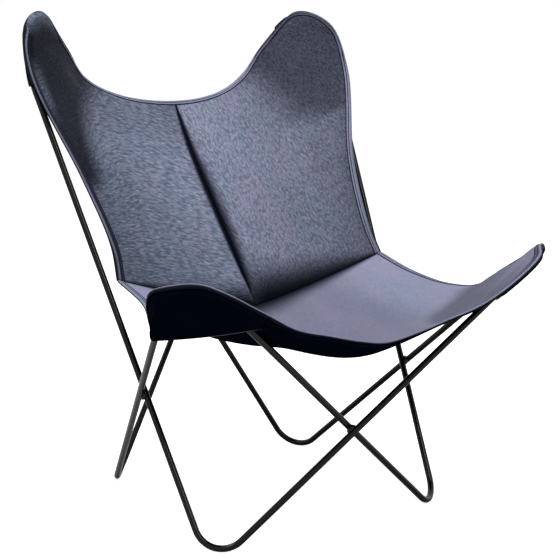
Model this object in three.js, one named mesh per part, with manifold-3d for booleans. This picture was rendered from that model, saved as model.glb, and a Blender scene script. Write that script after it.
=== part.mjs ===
// Butterfly sling chair: two closed loops of bent steel rod, four welds where the loops cross,
// and a sewn leather sling whose four corner pockets slip over the tips of the loops.
// Millimetres, +Z up, the sitter faces -Y. The floor is Z = 0 and the chair stands over the origin.
import * as THREE from "three";
import { mergeVertices } from "three/addons/utils/BufferGeometryUtils.js";
import Module from "manifold-3d";

const wasm = await Module();
wasm.setup();

// Rod frame. Each loop runs back tip, front foot on the same side, front tip on the other side,
// rear foot on that side. A corner is where the straight legs would meet if the bend were sharp.
const ROD_DIAMETER = 12;
const BACK_CORNER = { halfWidth: 373, depth: 441, height: 1002 };
const FRONT_CORNER = { halfWidth: 396, depth: 376, height: 558 };
const FRONT_FOOT_DEPTH = 192; // its half width follows from the legs that touch at the side
const REAR_FOOT = { halfWidth: 214, depth: 287 };
const BEND_RADIUS = 50; // centreline radius of the feet and the front tips
const BACK_TIP_SHARES = [0.82, 0.859, 0.919]; // of the back corner, where the rod is highest
const BACK_TIP_HALF_WIDTH = 55; // of the U at a back tip
const BACK_TIP_ROUND_SHARE = 0.97; // of that, so that the bends of the U don't meet
const BACK_BEND_LENGTH = 228; // from a back corner down each leg to its soft bend
const BACK_BEND_RADIUS = 170;
const WELD_DIAMETER = 20;
const WELD_FLATTENING_SHARE = 0.8;
const WELD_WEB_THICKNESS = 0.3; // weld metal between two rods where they cross

// Sling.
const LEATHER_THICKNESS = 3.2;
const BINDING_WIDTH = 4;
const BINDING_THICKNESS = 7.4;
const SEAM_STRIP_WIDTH = 24;
const SEAM_STRIP_THICKNESS = 2;
const CENTRE_STRIP_STOP_LENGTH = 45; // from the strip's end to the lumbar seam
const CENTRE_GROOVE = { depth: 14, width: 30 };
const BELLY = { depth: 22, rollLength: 50 }; // of the back, above the lumbar seam
const BELLY_START_SHARE = 0.75; // of the way down, where the belly has its full depth
const SWELL_FADE_SHARES = { start: 0.3, end: 0.9 }; // across a half back, where its swell fades
const LUMBAR = { depth: 75, height: 366 }; // middle of the seam between back and seat
const NOTCH = { halfWidth: 295, depth: 68, height: 446 }; // ends of that seam
const CLEARANCE = 0.3; // between pieces that touch

// Facets.
const ROD_SIDES = 14;
const BEND_STEP = THREE.MathUtils.degToRad(13);
const WELD_SEGMENTS = 18;
const MITRE_LIMIT_COSINE = 0.5;
const SOLVER_PASSES = 8;

// The edge of the back, from the middle of the top, round a tip and down to the notch, as shares
// of the back corner's half width, depth and height.
const BACK_EDGE_SHARES = [
  [0, 0.914, 0.747],
  [0.308, 0.955, 0.762],
  [0.499, 0.995, 0.799],
  [0.622, 0.966, 0.862],
  [0.796, 0.887, 0.93],
  [0.936, 0.771, 0.905],
  [0.968, 0.653, 0.811],
  [0.828, 0.424, 0.626],
  [0.775, 0.236, 0.503],
];
const BACK_APEX_INDEX = 4;
// The edge of the seat, from beside the notch, round a front tip and to the middle of the front,
// as shares of the front corner's half width, depth and height.
const SEAT_EDGE_SHARES = [
  [0.755, 0.109, 0.756],
  [0.818, 0.306, 0.729],
  [0.889, 0.479, 0.737],
  [0.937, 0.564, 0.785],
  [0.99, 0.66, 0.835],
  [1.015, 0.766, 0.884],
  [0.965, 0.856, 0.903],
  [0.879, 0.939, 0.909],
  [0.808, 1.019, 0.887],
  [0.646, 1.043, 0.821],
  [0.482, 1.019, 0.758],
  [0.311, 1, 0.724],
  [0.144, 0.98, 0.692],
  [0, 0.968, 0.675],
];
const SEAT_APEX_INDEX = 6;
// The middle of the seat, from the lumbar seam to the front edge, as shares of the front corner.
const SEAT_MIDDLE_SHARES = [
  [0, 0.16, 0.602],
  [0, 0.49, 0.577],
  [0, 0.8, 0.614],
];
const BACK_BOW_DEPTH = 12; // the centre seam hangs this far behind its chord
const SEAT_RISE = { height: 9, endShare: 0.7 }; // taut leather between the middle and each tip
// How late the lumbar seam and the seat below it rise from the middle to the edge, as powers.
const CURVE_SHARES = { lumbar: 1.15, seat: 1.6 };
// Grid lines from the middle to the edge, and down each panel, closer towards the tips.
const ACROSS_SHARES = [0, 0.03, 0.09, 0.18, 0.3, 0.42, 0.54, 0.64, 0.73, 0.81, 0.88, 0.93, 0.965, 0.985, 1];
const BACK_DOWN_SHARES = [
  0, 0.012, 0.03, 0.06, 0.1, 0.16, 0.24, 0.34, 0.46, 0.6, 0.74, 0.84, 0.91, 0.96, 1,
];
const SEAT_DOWN_SHARES = [
  0, 0.08, 0.19, 0.31, 0.43, 0.55, 0.65, 0.745, 0.83, 0.89, 0.935, 0.965, 0.985, 1,
];
const POCKET_DOWN_SHARES = [0, 0.05, 0.12, 0.22, 0.35, 0.5, 0.66, 0.83, 1];
// The grid lines at which each pocket's mouth meets the edge.
const BACK_MOUTH_SHARES = { across: 0.64, down: 0.34 };
const SEAT_MOUTH_SHARES = { across: 0.54, down: 0.55 };
const MOUTH_BOW_DEPTH = 9; // each mouth is cut this much lower in its middle
const CURVE_SAMPLES = 240;

const TURN_START_SHARE = 0.4; // where a tip's plane starts to turn, of the bend's distance
const NOTCH_SHARE = 0.03; // of an edge, left free at the notch
const POCKET_END_SHARE = 0.04;
const POCKET_DEPTH = { back: 150, front: 120 };
const TAUT_RISE = 42; // the leather is free of the rod where it passes this far in front of it
const TIP_SPINE_LENGTH = 100; // from a tip's apex to where its U counts as straight legs

const UP = new THREE.Vector3(0, 0, 1);
const TOWARDS_SITTER = new THREE.Vector3(0, -0.6, 0.8);
const ROD_RADIUS = ROD_DIAMETER / 2;
const ROD_STEP = ROD_DIAMETER + 2 * CLEARANCE + WELD_WEB_THICKNESS; // between rods that cross
const DRAPE_RADIUS = ROD_RADIUS + CLEARANCE + LEATHER_THICKNESS / 2; // rod centre to mid leather
const LAYER_OFFSET = (LEATHER_THICKNESS + CLEARANCE) / 2; // half the step between two sewn layers

const vec = (x, y, z) => new THREE.Vector3(x, y, z);
const plus = (a, b, k = 1) => a.clone().addScaledVector(b, k);
const minus = (a, b) => a.clone().sub(b);
const between = (a, b, t) => a.clone().lerp(b, t);
const mirrored = (p) => vec(-p.x, p.y, p.z);
const smooth = (t) => THREE.MathUtils.smoothstep(t, 0, 1);

// The points of a round bend at corner b, between straight legs to a and c.
function bend(a, b, c, radius) {
  const toA = minus(a, b).normalize();
  const toC = minus(c, b).normalize();
  const half = toA.angleTo(toC) / 2;
  const centre = plus(b, plus(toA, toC).normalize(), radius / Math.sin(half));
  const start = minus(plus(b, toA, radius / Math.tan(half)), centre);
  const end = minus(plus(b, toC, radius / Math.tan(half)), centre);
  const sweep = start.angleTo(end);
  const steps = Math.max(2, Math.ceil(sweep / BEND_STEP));
  const axis = start.clone().cross(end).normalize();
  return Array.from({ length: steps + 1 }, (_, i) =>
    plus(centre, start.clone().applyAxisAngle(axis, (sweep * i) / steps)),
  );
}

// A foot's corner, low enough for the underside of its bend to rest on the floor.
function footCorner(x, y, a, c) {
  const corner = vec(x, y, 0);
  for (let pass = 0; pass < SOLVER_PASSES; pass++) {
    const lowest = Math.min(...bend(a, corner, c, BEND_RADIUS).map((p) => p.z));
    corner.z += ROD_RADIUS - lowest;
  }
  return corner;
}

// The loop whose back tip is on the right: its corners, and its centreline as a closed list.
function rightHandLoop(frontFootHalfWidth) {
  const back = vec(BACK_CORNER.halfWidth, BACK_CORNER.depth, BACK_CORNER.height);
  const front = vec(-FRONT_CORNER.halfWidth, -FRONT_CORNER.depth, FRONT_CORNER.height);
  const frontFoot = footCorner(frontFootHalfWidth, -FRONT_FOOT_DEPTH, back, front);
  const rearFoot = footCorner(-REAR_FOOT.halfWidth, REAR_FOOT.depth, front, back);
  const outerBend = plus(back, minus(frontFoot, back).setLength(BACK_BEND_LENGTH));
  const innerBend = plus(back, minus(rearFoot, back).setLength(BACK_BEND_LENGTH));
  const top = back.clone().multiply(vec(...BACK_TIP_SHARES));
  const across = minus(innerBend, outerBend).normalize();
  const outerTop = plus(top, across, -BACK_TIP_HALF_WIDTH);
  const innerTop = plus(top, across, BACK_TIP_HALF_WIDTH);
  const corners = [
    [outerBend, BACK_BEND_RADIUS],
    [frontFoot, BEND_RADIUS],
    [front, BEND_RADIUS],
    [rearFoot, BEND_RADIUS],
    [innerBend, BACK_BEND_RADIUS],
    [innerTop, BACK_TIP_HALF_WIDTH * BACK_TIP_ROUND_SHARE],
    [outerTop, BACK_TIP_HALF_WIDTH * BACK_TIP_ROUND_SHARE],
  ];
  const points = corners.flatMap(([corner, radius], i) => {
    const [before] = corners[(i + corners.length - 1) % corners.length];
    const [after] = corners[(i + 1) % corners.length];
    return bend(before, corner, after, radius);
  });
  return { points, back, front, frontFoot, rearFoot, top };
}

// A round tube along a closed list of points, mitred at each of them.
function closedTube(points, radius, sides) {
  const count = points.length;
  const next = (i) => points[(i + 1) % count];
  const before = (i) => points[(i + count - 1) % count];
  const directions = points.map((p, i) => minus(next(i), p).normalize());
  let reference = vec(0, 0, 1).cross(directions[count - 1]).normalize();
  const normals = points.map((p, i) => {
    const miter = plus(directions[(i + count - 1) % count], directions[i]).normalize();
    reference = plus(reference, miter, -reference.dot(miter)).normalize();
    return { miter, side: reference.clone() };
  });
  const last = normals[count - 1];
  const first = normals[0];
  const carried = plus(last.side, first.miter, -last.side.dot(first.miter)).normalize();
  const turned = first.miter.dot(carried.clone().cross(first.side));
  const twist = Math.atan2(turned, carried.dot(first.side));
  const positions = [];
  points.forEach((p, i) => {
    const incoming = minus(p, before(i)).normalize();
    const { miter, side } = normals[i];
    const up = miter.clone().cross(side);
    const stretch = 1 / Math.max(miter.dot(incoming), MITRE_LIMIT_COSINE);
    const inPlane = minus(directions[i], incoming);
    const spread = inPlane.lengthSq() > 0 ? inPlane.normalize() : side;
    for (let k = 0; k < sides; k++) {
      const angle = (2 * Math.PI * k) / sides + (twist * i) / count;
      const arm = side.clone().multiplyScalar(radius * Math.cos(angle));
      arm.addScaledVector(up, radius * Math.sin(angle));
      arm.addScaledVector(spread, arm.dot(spread) * (stretch - 1));
      positions.push(...plus(p, arm).toArray());
    }
  });
  const index = [];
  for (let i = 0; i < count; i++)
    for (let k = 0; k < sides; k++) {
      const a = i * sides + k;
      const b = i * sides + ((k + 1) % sides);
      const c = ((i + 1) % count) * sides + k;
      const d = ((i + 1) % count) * sides + ((k + 1) % sides);
      index.push(a, b, c, b, d, c);
    }
  return shape(positions, index);
}

// A geometry from a flat list of positions and an index, turned face out if need be.
function shape(positions, index) {
  const p = (i) => vec(positions[3 * i], positions[3 * i + 1], positions[3 * i + 2]);
  let volume = 0;
  for (let i = 0; i < index.length; i += 3)
    volume += p(index[i]).dot(p(index[i + 1]).cross(p(index[i + 2])));
  if (volume < 0)
    for (let i = 0; i < index.length; i += 3) [index[i], index[i + 1]] = [index[i + 1], index[i]];
  const geometry = new THREE.BufferGeometry();
  geometry.setAttribute("position", new THREE.Float32BufferAttribute(positions, 3));
  geometry.setIndex(index);
  return geometry;
}

// Joins and cuts.
function solidOf(geometry) {
  const bare = geometry.clone();
  bare.deleteAttribute("normal");
  bare.deleteAttribute("uv");
  const merged = mergeVertices(bare);
  const vertProperties = merged.attributes.position.array;
  return new wasm.Manifold(
    new wasm.Mesh({ numProp: 3, vertProperties, triVerts: new Uint32Array(merged.index.array) }),
  );
}

function geometryOf(solid) {
  const mesh = solid.getMesh();
  const geometry = new THREE.BufferGeometry();
  geometry.setAttribute("position", new THREE.BufferAttribute(mesh.vertProperties, 3));
  geometry.setIndex(new THREE.BufferAttribute(mesh.triVerts, 1));
  geometry.computeVertexNormals();
  return geometry;
}

const cut = (geometry, tools) =>
  geometryOf(tools.reduce((body, tool) => body.subtract(tool), solidOf(geometry)));

// Frame. The loops are mirror images, each moved in depth by half the step between them.
function placed(loop, place) {
  const { points, ...corners } = loop;
  const named = Object.entries(corners).map(([name, p]) => [name, place(p)]);
  return { points: points.map(place), ...Object.fromEntries(named) };
}

const narrow = rightHandLoop(REAR_FOOT.halfWidth);
const frontLeg = minus(narrow.front, narrow.frontFoot);
const frontNormal = frontLeg.clone().cross(mirrored(frontLeg)).normalize();
const rearwards = vec(0, ROD_STEP / 2 / Math.abs(frontNormal.y), 0);
const onRight = (p) => plus(p, rearwards);
const onLeft = (p) => plus(mirrored(p), rearwards, -1);

// How far apart two legs pass that cross at the chair's side: one from a loop's back to its front
// foot, and the other loop's from its front tip to its rear foot.
function sideGap(halfWidth, ownPlace, otherPlace) {
  const own = placed(rightHandLoop(halfWidth), ownPlace);
  const other = placed(narrow, otherPlace);
  const across = minus(own.frontFoot, own.back).cross(minus(other.rearFoot, other.front));
  return minus(other.front, own.back).dot(across.normalize());
}

// The half width of a loop's front foot at which these legs are a rod's step apart.
function touchingHalfWidth(ownPlace, otherPlace) {
  let halfWidth = REAR_FOOT.halfWidth;
  const aim = Math.sign(sideGap(halfWidth, ownPlace, otherPlace)) * ROD_STEP;
  for (let pass = 0; pass < SOLVER_PASSES; pass++) {
    const gap = sideGap(halfWidth, ownPlace, otherPlace);
    const slope = (sideGap(halfWidth + CLEARANCE, ownPlace, otherPlace) - gap) / CLEARANCE;
    halfWidth += (aim - gap) / slope;
  }
  return halfWidth;
}

const rightLoop = placed(rightHandLoop(touchingHalfWidth(onRight, onLeft)), onRight);
const leftLoop = placed(rightHandLoop(touchingHalfWidth(onLeft, onRight)), onLeft);
const rodCutters = [rightLoop, leftLoop].map(({ points }) =>
  solidOf(closedTube(points, ROD_RADIUS + CLEARANCE, ROD_SIDES)),
);

// Where two polylines pass closest, as the middle of the gap.
function crossing(a, b, near) {
  let best = { gap: Infinity };
  const line = new THREE.Line3();
  const other = new THREE.Line3();
  const p = vec(0, 0, 0);
  const q = vec(0, 0, 0);
  a.forEach((start, i) => {
    line.set(start, a[(i + 1) % a.length]);
    b.forEach((from, j) => {
      other.set(from, b[(j + 1) % b.length]);
      const t = closestShares(line, other);
      line.at(t[0], p);
      other.at(t[1], q);
      const gap = p.distanceTo(q);
      const middle = between(p, q, 0.5);
      if (near(middle) && gap < best.gap) best = { gap, middle, axis: minus(q, p).normalize() };
    });
  });
  return best;
}

function closestShares(line, other) {
  const u = line.delta(vec(0, 0, 0));
  const v = other.delta(vec(0, 0, 0));
  const w = minus(line.start, other.start);
  const a = u.dot(u);
  const b = u.dot(v);
  const c = v.dot(v);
  const scale = a * c - b * b || 1;
  const s = THREE.MathUtils.clamp((b * v.dot(w) - c * u.dot(w)) / scale, 0, 1);
  const t = THREE.MathUtils.clamp((a * v.dot(w) - b * u.dot(w)) / scale, 0, 1);
  return [s, t];
}

// The front and rear crossings lie nearer the middle than this, the side ones further out.
const sideStart = REAR_FOOT.halfWidth / 2;

function weld(near) {
  const { middle, axis } = crossing(rightLoop.points, leftLoop.points, near);
  const bead = new THREE.SphereGeometry(WELD_DIAMETER / 2, WELD_SEGMENTS, WELD_SEGMENTS / 2);
  bead.scale(1, 1, WELD_FLATTENING_SHARE);
  bead.applyQuaternion(new THREE.Quaternion().setFromUnitVectors(vec(0, 0, 1), axis));
  bead.translate(middle.x, middle.y, middle.z);
  return cut(bead, rodCutters);
}

// Sling outline. The part of a smooth curve between two of its points, read by share of length.
function stretch(points, from, to) {
  const curve = new THREE.CatmullRomCurve3(points, false, "centripetal");
  const last = points.length - 1;
  const samples = Array.from({ length: CURVE_SAMPLES + 1 }, (_, i) =>
    curve.getPoint(THREE.MathUtils.lerp(from, to, i / CURVE_SAMPLES) / last),
  );
  const lengths = [0];
  samples.slice(1).forEach((p, i) => lengths.push(lengths[i] + p.distanceTo(samples[i])));
  return (t) => {
    const aim = THREE.MathUtils.clamp(t, 0, 1) * lengths[CURVE_SAMPLES];
    let i = 1;
    while (i < CURVE_SAMPLES && lengths[i] < aim) i++;
    return between(samples[i - 1], samples[i], (aim - lengths[i - 1]) / (lengths[i] - lengths[i - 1]));
  };
}

const backPoint = ([x, y, z]) =>
  vec(x * BACK_CORNER.halfWidth, y * BACK_CORNER.depth, z * BACK_CORNER.height);
const frontPoint = ([x, y, z]) =>
  vec(x * FRONT_CORNER.halfWidth, -y * FRONT_CORNER.depth, z * FRONT_CORNER.height);
const notch = vec(NOTCH.halfWidth, NOTCH.depth, NOTCH.height);
const lumbar = vec(0, LUMBAR.depth, LUMBAR.height);

// Both edges run on past the middle, so that they cross it level.
const backPoints = BACK_EDGE_SHARES.map(backPoint);
const seatPoints = SEAT_EDGE_SHARES.map(frontPoint);
const backEdge = [mirrored(backPoints[1]), ...backPoints, notch];
const seatEdge = [notch, ...seatPoints, mirrored(seatPoints[seatPoints.length - 2])];
const backTop = stretch(backEdge, 1, BACK_APEX_INDEX + 1);
const backSide = stretch(backEdge, BACK_APEX_INDEX + 1, backEdge.length - 1);
const seatSide = stretch(seatEdge, 0, SEAT_APEX_INDEX + 1);
const seatFrontInwards = stretch(seatEdge, SEAT_APEX_INDEX + 1, seatEdge.length - 2);
const seatFront = (t) => seatFrontInwards(1 - t);
const seatMiddle = [lumbar, ...SEAT_MIDDLE_SHARES.map(frontPoint), seatFront(0)];
const seatMid = stretch(seatMiddle, 0, seatMiddle.length - 1);
const backChord = minus(lumbar, backPoints[0]);
const behind = vec(0, -backChord.z, backChord.y).normalize();
const backMid = (t) =>
  plus(between(backPoints[0], lumbar, t), behind, BACK_BOW_DEPTH * Math.sin(Math.PI * t));
const rise = (t) => Math.pow(t, CURVE_SHARES.seat);
const lumbarSeam = (t) =>
  vec(
    notch.x * t,
    THREE.MathUtils.lerp(lumbar.y, notch.y, t),
    THREE.MathUtils.lerp(lumbar.z, notch.z, Math.pow(t, CURVE_SHARES.lumbar)),
  );

// A patch between four edge curves. Height may follow its own curve across.
function patch(top, bottom, left, right, height = (t) => t) {
  const mix = (a, b, t) => {
    const p = between(a, b, t);
    p.z = THREE.MathUtils.lerp(a.z, b.z, height(t));
    return p;
  };
  return (u, v) => {
    const across = mix(left(v), right(v), u);
    const down = between(top(u), bottom(u), v);
    const corners = between(mix(top(0), top(1), u), mix(bottom(0), bottom(1), u), v);
    return plus(plus(across, down), corners, -1);
  };
}

// A curve moved so that its ends meet two given points.
const pinned = (curve, start, end) => (t) =>
  plus(plus(curve(t), minus(start, curve(0)), 1 - t), minus(end, curve(1)), t);

// The direction from an edge into the panel, square to the edge.
function inwards(curve, t, middle) {
  const step = 1 / CURVE_SAMPLES;
  const along = minus(curve(Math.min(t + step, 1)), curve(Math.max(t - step, 0))).normalize();
  const inward = minus(middle, curve(t));
  inward.addScaledVector(along, -inward.dot(along)).normalize();
  return { along, inward };
}

const EDGE_INSET = BINDING_WIDTH + CLEARANCE;
const SEAM_INSET = LEATHER_THICKNESS / 2 + CLEARANCE;

// A half panel: its edge is drawn in by the binding, and its seams by half a leather.
function halfPanel({ top, bottom, left, right, height, rimTop, rimBottom, seamLeft }) {
  const middle = patch(top, bottom, left, right, height)(0.5, 0.5);
  const drawn = (curve) => (t) => plus(curve(t), inwards(curve, t, middle).inward, EDGE_INSET);
  const seamed = (curve) => (t) => {
    const p = curve(t);
    return plus(p, minus(middle, p).setX(0).normalize(), SEAM_INSET);
  };
  const upper = rimTop ? drawn(top) : seamed(top);
  const lower = rimBottom ? drawn(bottom) : seamed(bottom);
  const side = drawn(right);
  const outer = rimTop ? upper(1) : lower(1);
  const shift = vec(seamLeft ? SEAM_INSET : 0, 0, 0);
  const corner = {
    topLeft: plus(upper(0), shift),
    bottomLeft: plus(lower(0), shift),
    topRight: rimTop ? outer : plus(side(0), minus(upper(1), top(1))),
    bottomRight: rimTop ? plus(side(1), minus(lower(1), bottom(1))) : outer,
  };
  return patch(
    pinned(upper, corner.topLeft, corner.topRight),
    pinned(lower, corner.bottomLeft, corner.bottomRight),
    pinned(left, corner.topLeft, corner.bottomLeft),
    pinned(side, corner.topRight, corner.bottomRight),
    height,
  );
}

const backEdges = { top: backTop, bottom: lumbarSeam, left: backMid, right: backSide };
const seatEdges = { top: lumbarSeam, bottom: seatFront, left: seatMid, right: seatSide, height: rise };
const backCentre = patch(backTop, lumbarSeam, backMid, backSide)(0.5, 0.5);
const seatCentre = patch(lumbarSeam, seatFront, seatMid, seatSide, rise)(0.5, 0.5);
const backFlat = halfPanel({ ...backEdges, rimTop: true, seamLeft: true });
const seatFlat = halfPanel({ ...seatEdges, rimBottom: true });

// The seat is held up a little where it is taut from the notch to the front edge.
function seatHalf(u, v) {
  const taut = Math.sin(Math.PI * Math.min(1, u / SEAT_RISE.endShare)) ** 2;
  return plus(seatFlat(u, v), UP, SEAT_RISE.height * taut * Math.sin(Math.PI * v));
}

// The back swells on each side of its centre seam, which lies in a groove, and rolls under to
// the lumbar seam.
function backHalf(u, v) {
  const p = backFlat(u, v);
  const fromSeam = Math.min(1, p.x / CENTRE_GROOVE.width);
  const fade = 1 - THREE.MathUtils.smoothstep(u, SWELL_FADE_SHARES.start, SWELL_FADE_SHARES.end);
  const roll = 1 - (1 - Math.min(1, ((1 - v) * backChord.length()) / BELLY.rollLength)) ** 2;
  const belly = BELLY.depth * (1 - u) * smooth(v / BELLY_START_SHARE) * roll;
  const swell = CENTRE_GROOVE.depth * fade * Math.sin(Math.PI * v) + belly;
  return plus(p, behind, -swell * (1 - (1 - fromSeam) ** 2));
}

// Rod tips. Each has its apex, the way up and across its U, and the inward face of its plane,
// which turns a little where the rod leaves the U.
function nearestOn(loop, p) {
  const line = new THREE.Line3();
  const q = vec(0, 0, 0);
  let best = Infinity;
  const nearest = vec(0, 0, 0);
  loop.forEach((start, i) => {
    line.set(start, loop[(i + 1) % loop.length]).closestPointToPoint(p, true, q);
    const distance = q.distanceToSquared(p);
    if (distance < best) {
      best = distance;
      nearest.copy(q);
    }
  });
  return nearest;
}

function rodTip(loop, corner, apex, edge, depth) {
  const [legA, legB] = [loop.frontFoot, loop.rearFoot].map((foot) =>
    plus(corner, minus(foot, corner).setLength(BACK_BEND_LENGTH)),
  );
  const across = minus(legA, legB).normalize();
  const sitter = minus(vec(0, 0, corner.z), corner);
  const faceIn = (up) => {
    const normal = across.clone().cross(up).normalize();
    return normal.dot(sitter) < 0 ? normal.negate() : normal;
  };
  const up = minus(apex, between(legA, legB, 0.5)).normalize();
  const tipFace = faceIn(up);
  const legFace = faceIn(minus(corner, between(legA, legB, 0.5)));
  const down = (p) => minus(apex, p).dot(up);
  const normalAt = (p) =>
    between(tipFace, legFace, smooth(down(p) / BACK_BEND_LENGTH - TURN_START_SHARE)).normalize();
  return { points: loop.points, apex, up, down, normalAt, edge, depth };
}

// Where taut leather lies at a point near a tip: it spans from the edge to the rod, follows the
// rod round, and goes straight across inside the U. side is 1 on the sitter's face, -1 outside.
function draped(p, side, tip) {
  const q = nearestOn(tip.points, p);
  const normal = tip.normalAt(q);
  const height = minus(p, q).dot(normal);
  const lateral = plus(minus(p, q), normal, -height);
  const spine = plus(tip.apex, tip.up, -Math.max(tip.down(q), TIP_SPINE_LENGTH));
  const outward = minus(q, spine);
  outward.addScaledVector(normal, -outward.dot(normal));
  const inside = lateral.dot(outward) < 0;
  const away = lateral.length();
  const rim = tip.edge.reduce((a, b) => (a.distanceToSquared(p) < b.distanceToSquared(p) ? a : b));
  const rimRise = minus(rim, q).dot(normal);
  const reach = Math.max(plus(minus(rim, q), normal, -rimRise).length(), away);
  const rimHeight = rimRise + side * LAYER_OFFSET;
  let level = side * DRAPE_RADIUS;
  if (!inside) {
    const span = Math.max(Math.hypot(reach, rimHeight), DRAPE_RADIUS);
    const angle = Math.atan2(rimHeight, reach) + side * Math.acos(DRAPE_RADIUS / span);
    const touch = DRAPE_RADIUS * Math.cos(angle);
    const share = (away - touch) / Math.max(reach - touch, CLEARANCE);
    level =
      away < touch
        ? side * Math.sqrt(DRAPE_RADIUS ** 2 - away ** 2)
        : THREE.MathUtils.lerp(DRAPE_RADIUS * Math.sin(angle), rimHeight, share);
  }
  if (side < 0) return plus(p, normal, level - height);
  const deep = 1 - smooth((tip.down(p) - tip.depth) / tip.depth);
  const free = smooth((height - TAUT_RISE) / TAUT_RISE);
  return plus(p, normal, Math.max(0, level - height) * deep * (1 - free));
}

// The tips that carry one half of the sling: the right one, or with flip the left one.
function tipsOf(flip) {
  const [backLoop, frontLoop] = flip ? [leftLoop, rightLoop] : [rightLoop, leftLoop];
  const edgeOf = (...curves) =>
    curves.flatMap((curve) =>
      Array.from({ length: CURVE_SAMPLES / 2 + 1 }, (_, i) => {
        const p = curve((2 * i) / CURVE_SAMPLES);
        return flip ? mirrored(p) : p;
      }),
    );
  const frontApex = nearestOn(frontLoop.points, frontLoop.front);
  return {
    back: rodTip(backLoop, backLoop.back, backLoop.top, edgeOf(backTop, backSide), POCKET_DEPTH.back),
    front: rodTip(
      frontLoop, frontLoop.front, frontApex, edgeOf(seatSide, seatFront), POCKET_DEPTH.front,
    ),
  };
}

const tips = { right: tipsOf(false), left: tipsOf(true) };

// The leather's surface on one side of the chair.
function surface(half, tipName, sideName) {
  const tip = tips[sideName][tipName];
  return (u, v) => {
    const p = half(u, v);
    return draped(sideName === "left" ? mirrored(p) : p, 1, tip);
  };
}

const backOf = { right: surface(backHalf, "back", "right"), left: surface(backHalf, "back", "left") };
const seatOf = { right: surface(seatHalf, "front", "right"), left: surface(seatHalf, "front", "left") };

// A sheet of leather through a grid of points, with its thickness square to its surface.
// offset moves it off the grid, towards the sitter or, below zero, away.
function sheet(grid, thickness, offset = 0) {
  const rows = grid.length;
  const columns = grid[0].length;
  const at = (i, j) =>
    grid[THREE.MathUtils.clamp(i, 0, rows - 1)][THREE.MathUtils.clamp(j, 0, columns - 1)];
  const normals = grid.map((row, i) =>
    row.map((_, j) => {
      const normal = minus(at(i + 1, j), at(i - 1, j)).cross(minus(at(i, j + 1), at(i, j - 1)));
      return normal.normalize();
    }),
  );
  const middle = normals[Math.floor(rows / 2)][Math.floor(columns / 2)];
  const facing = Math.sign(middle.dot(TOWARDS_SITTER)) || 1;
  const positions = [];
  for (const face of [1, -1])
    grid.forEach((row, i) =>
      row.forEach((p, j) => {
        const lift = facing * offset + (face * thickness) / 2;
        positions.push(...plus(p, normals[i][j], lift).toArray());
      }),
    );
  const index = [];
  const quad = (a, b, c, d) => index.push(a, b, c, a, c, d);
  const top = (i, j) => i * columns + j;
  const under = (i, j) => rows * columns + i * columns + j;
  for (let i = 0; i < rows - 1; i++)
    for (let j = 0; j < columns - 1; j++) {
      quad(top(i, j), top(i + 1, j), top(i + 1, j + 1), top(i, j + 1));
      quad(under(i, j), under(i, j + 1), under(i + 1, j + 1), under(i + 1, j));
    }
  for (let i = 0; i < rows - 1; i++) {
    quad(top(i, 0), under(i, 0), under(i + 1, 0), top(i + 1, 0));
    const j = columns - 1;
    quad(top(i, j), top(i + 1, j), under(i + 1, j), under(i, j));
  }
  for (let j = 0; j < columns - 1; j++) {
    quad(top(0, j), top(0, j + 1), under(0, j + 1), under(0, j));
    const i = rows - 1;
    quad(top(i, j), under(i, j), under(i, j + 1), top(i, j + 1));
  }
  return shape(positions, index);
}

const gridOf = (down, across, point) => down.map((v) => across.map((u) => point(u, v)));
const mirroredShares = [...ACROSS_SHARES.slice(1).reverse().map((u) => -u), ...ACROSS_SHARES];
const wholeSeat = (u, v) => (u < 0 ? seatOf.left(-u, v) : seatOf.right(u, v));

const grids = {
  backRight: gridOf(BACK_DOWN_SHARES, ACROSS_SHARES, backOf.right),
  backLeft: gridOf(BACK_DOWN_SHARES, ACROSS_SHARES, backOf.left),
  seat: gridOf(SEAT_DOWN_SHARES, mirroredShares, wholeSeat),
};

// A grid drawn out at its edges, and with that the room that a sheet needs round it.
function widened(grid) {
  const out = (edge, inner) => plus(edge, minus(edge, inner).setLength(CLEARANCE));
  const wide = grid.map((row) => [
    out(row[0], row[1]),
    ...row.slice(1, -1),
    out(row[row.length - 1], row[row.length - 2]),
  ]);
  const first = wide[0].map((p, j) => out(p, wide[1][j]));
  const last = wide[wide.length - 1].map((p, j) => out(p, wide[wide.length - 2][j]));
  return [first, ...wide.slice(1, -1), last];
}

const room = (grid) => solidOf(sheet(widened(grid), LEATHER_THICKNESS + 2 * CLEARANCE));

const backRim = [
  ...ACROSS_SHARES.filter((u) => u >= BACK_MOUTH_SHARES.across).map((u) => [u, 0]),
  ...BACK_DOWN_SHARES.filter((v) => v > 0 && v <= BACK_MOUTH_SHARES.down).map((v) => [1, v]),
];
const seatRim = [
  ...SEAT_DOWN_SHARES.filter((v) => v >= SEAT_MOUTH_SHARES.down).map((v) => [1, v]),
  ...ACROSS_SHARES.filter((u) => u < 1 && u >= SEAT_MOUTH_SHARES.across)
    .reverse()
    .map((u) => [u, 1]),
];

// Pockets. Each is sewn along the edge, between the ends of its mouth, on the outer side.
function pocketGrid(half, tipName, sideName, rimPlaces) {
  const tip = tips[sideName][tipName];
  const place = (p) => (sideName === "left" ? mirrored(p) : p);
  const rim = rimPlaces.map(([u, v]) => place(half(u, v)));
  const from = rim[0];
  const to = rim[rim.length - 1];
  const mouth = minus(to, from);
  const columns = rim.slice(1, -1).map((p) => {
    const share = minus(p, from).dot(mouth) / mouth.lengthSq();
    const across = THREE.MathUtils.clamp(share, POCKET_END_SHARE, 1 - POCKET_END_SHARE);
    const bow = MOUTH_BOW_DEPTH * Math.sin(Math.PI * across);
    const end = plus(plus(from, mouth, across), tip.up, -bow);
    return { start: plus(p, minus(end, p).setLength(LEATHER_THICKNESS)), end };
  });
  return POCKET_DOWN_SHARES.map((w) =>
    columns.map(({ start, end }) => draped(between(start, end, w), -1, tip)),
  );
}

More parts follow.
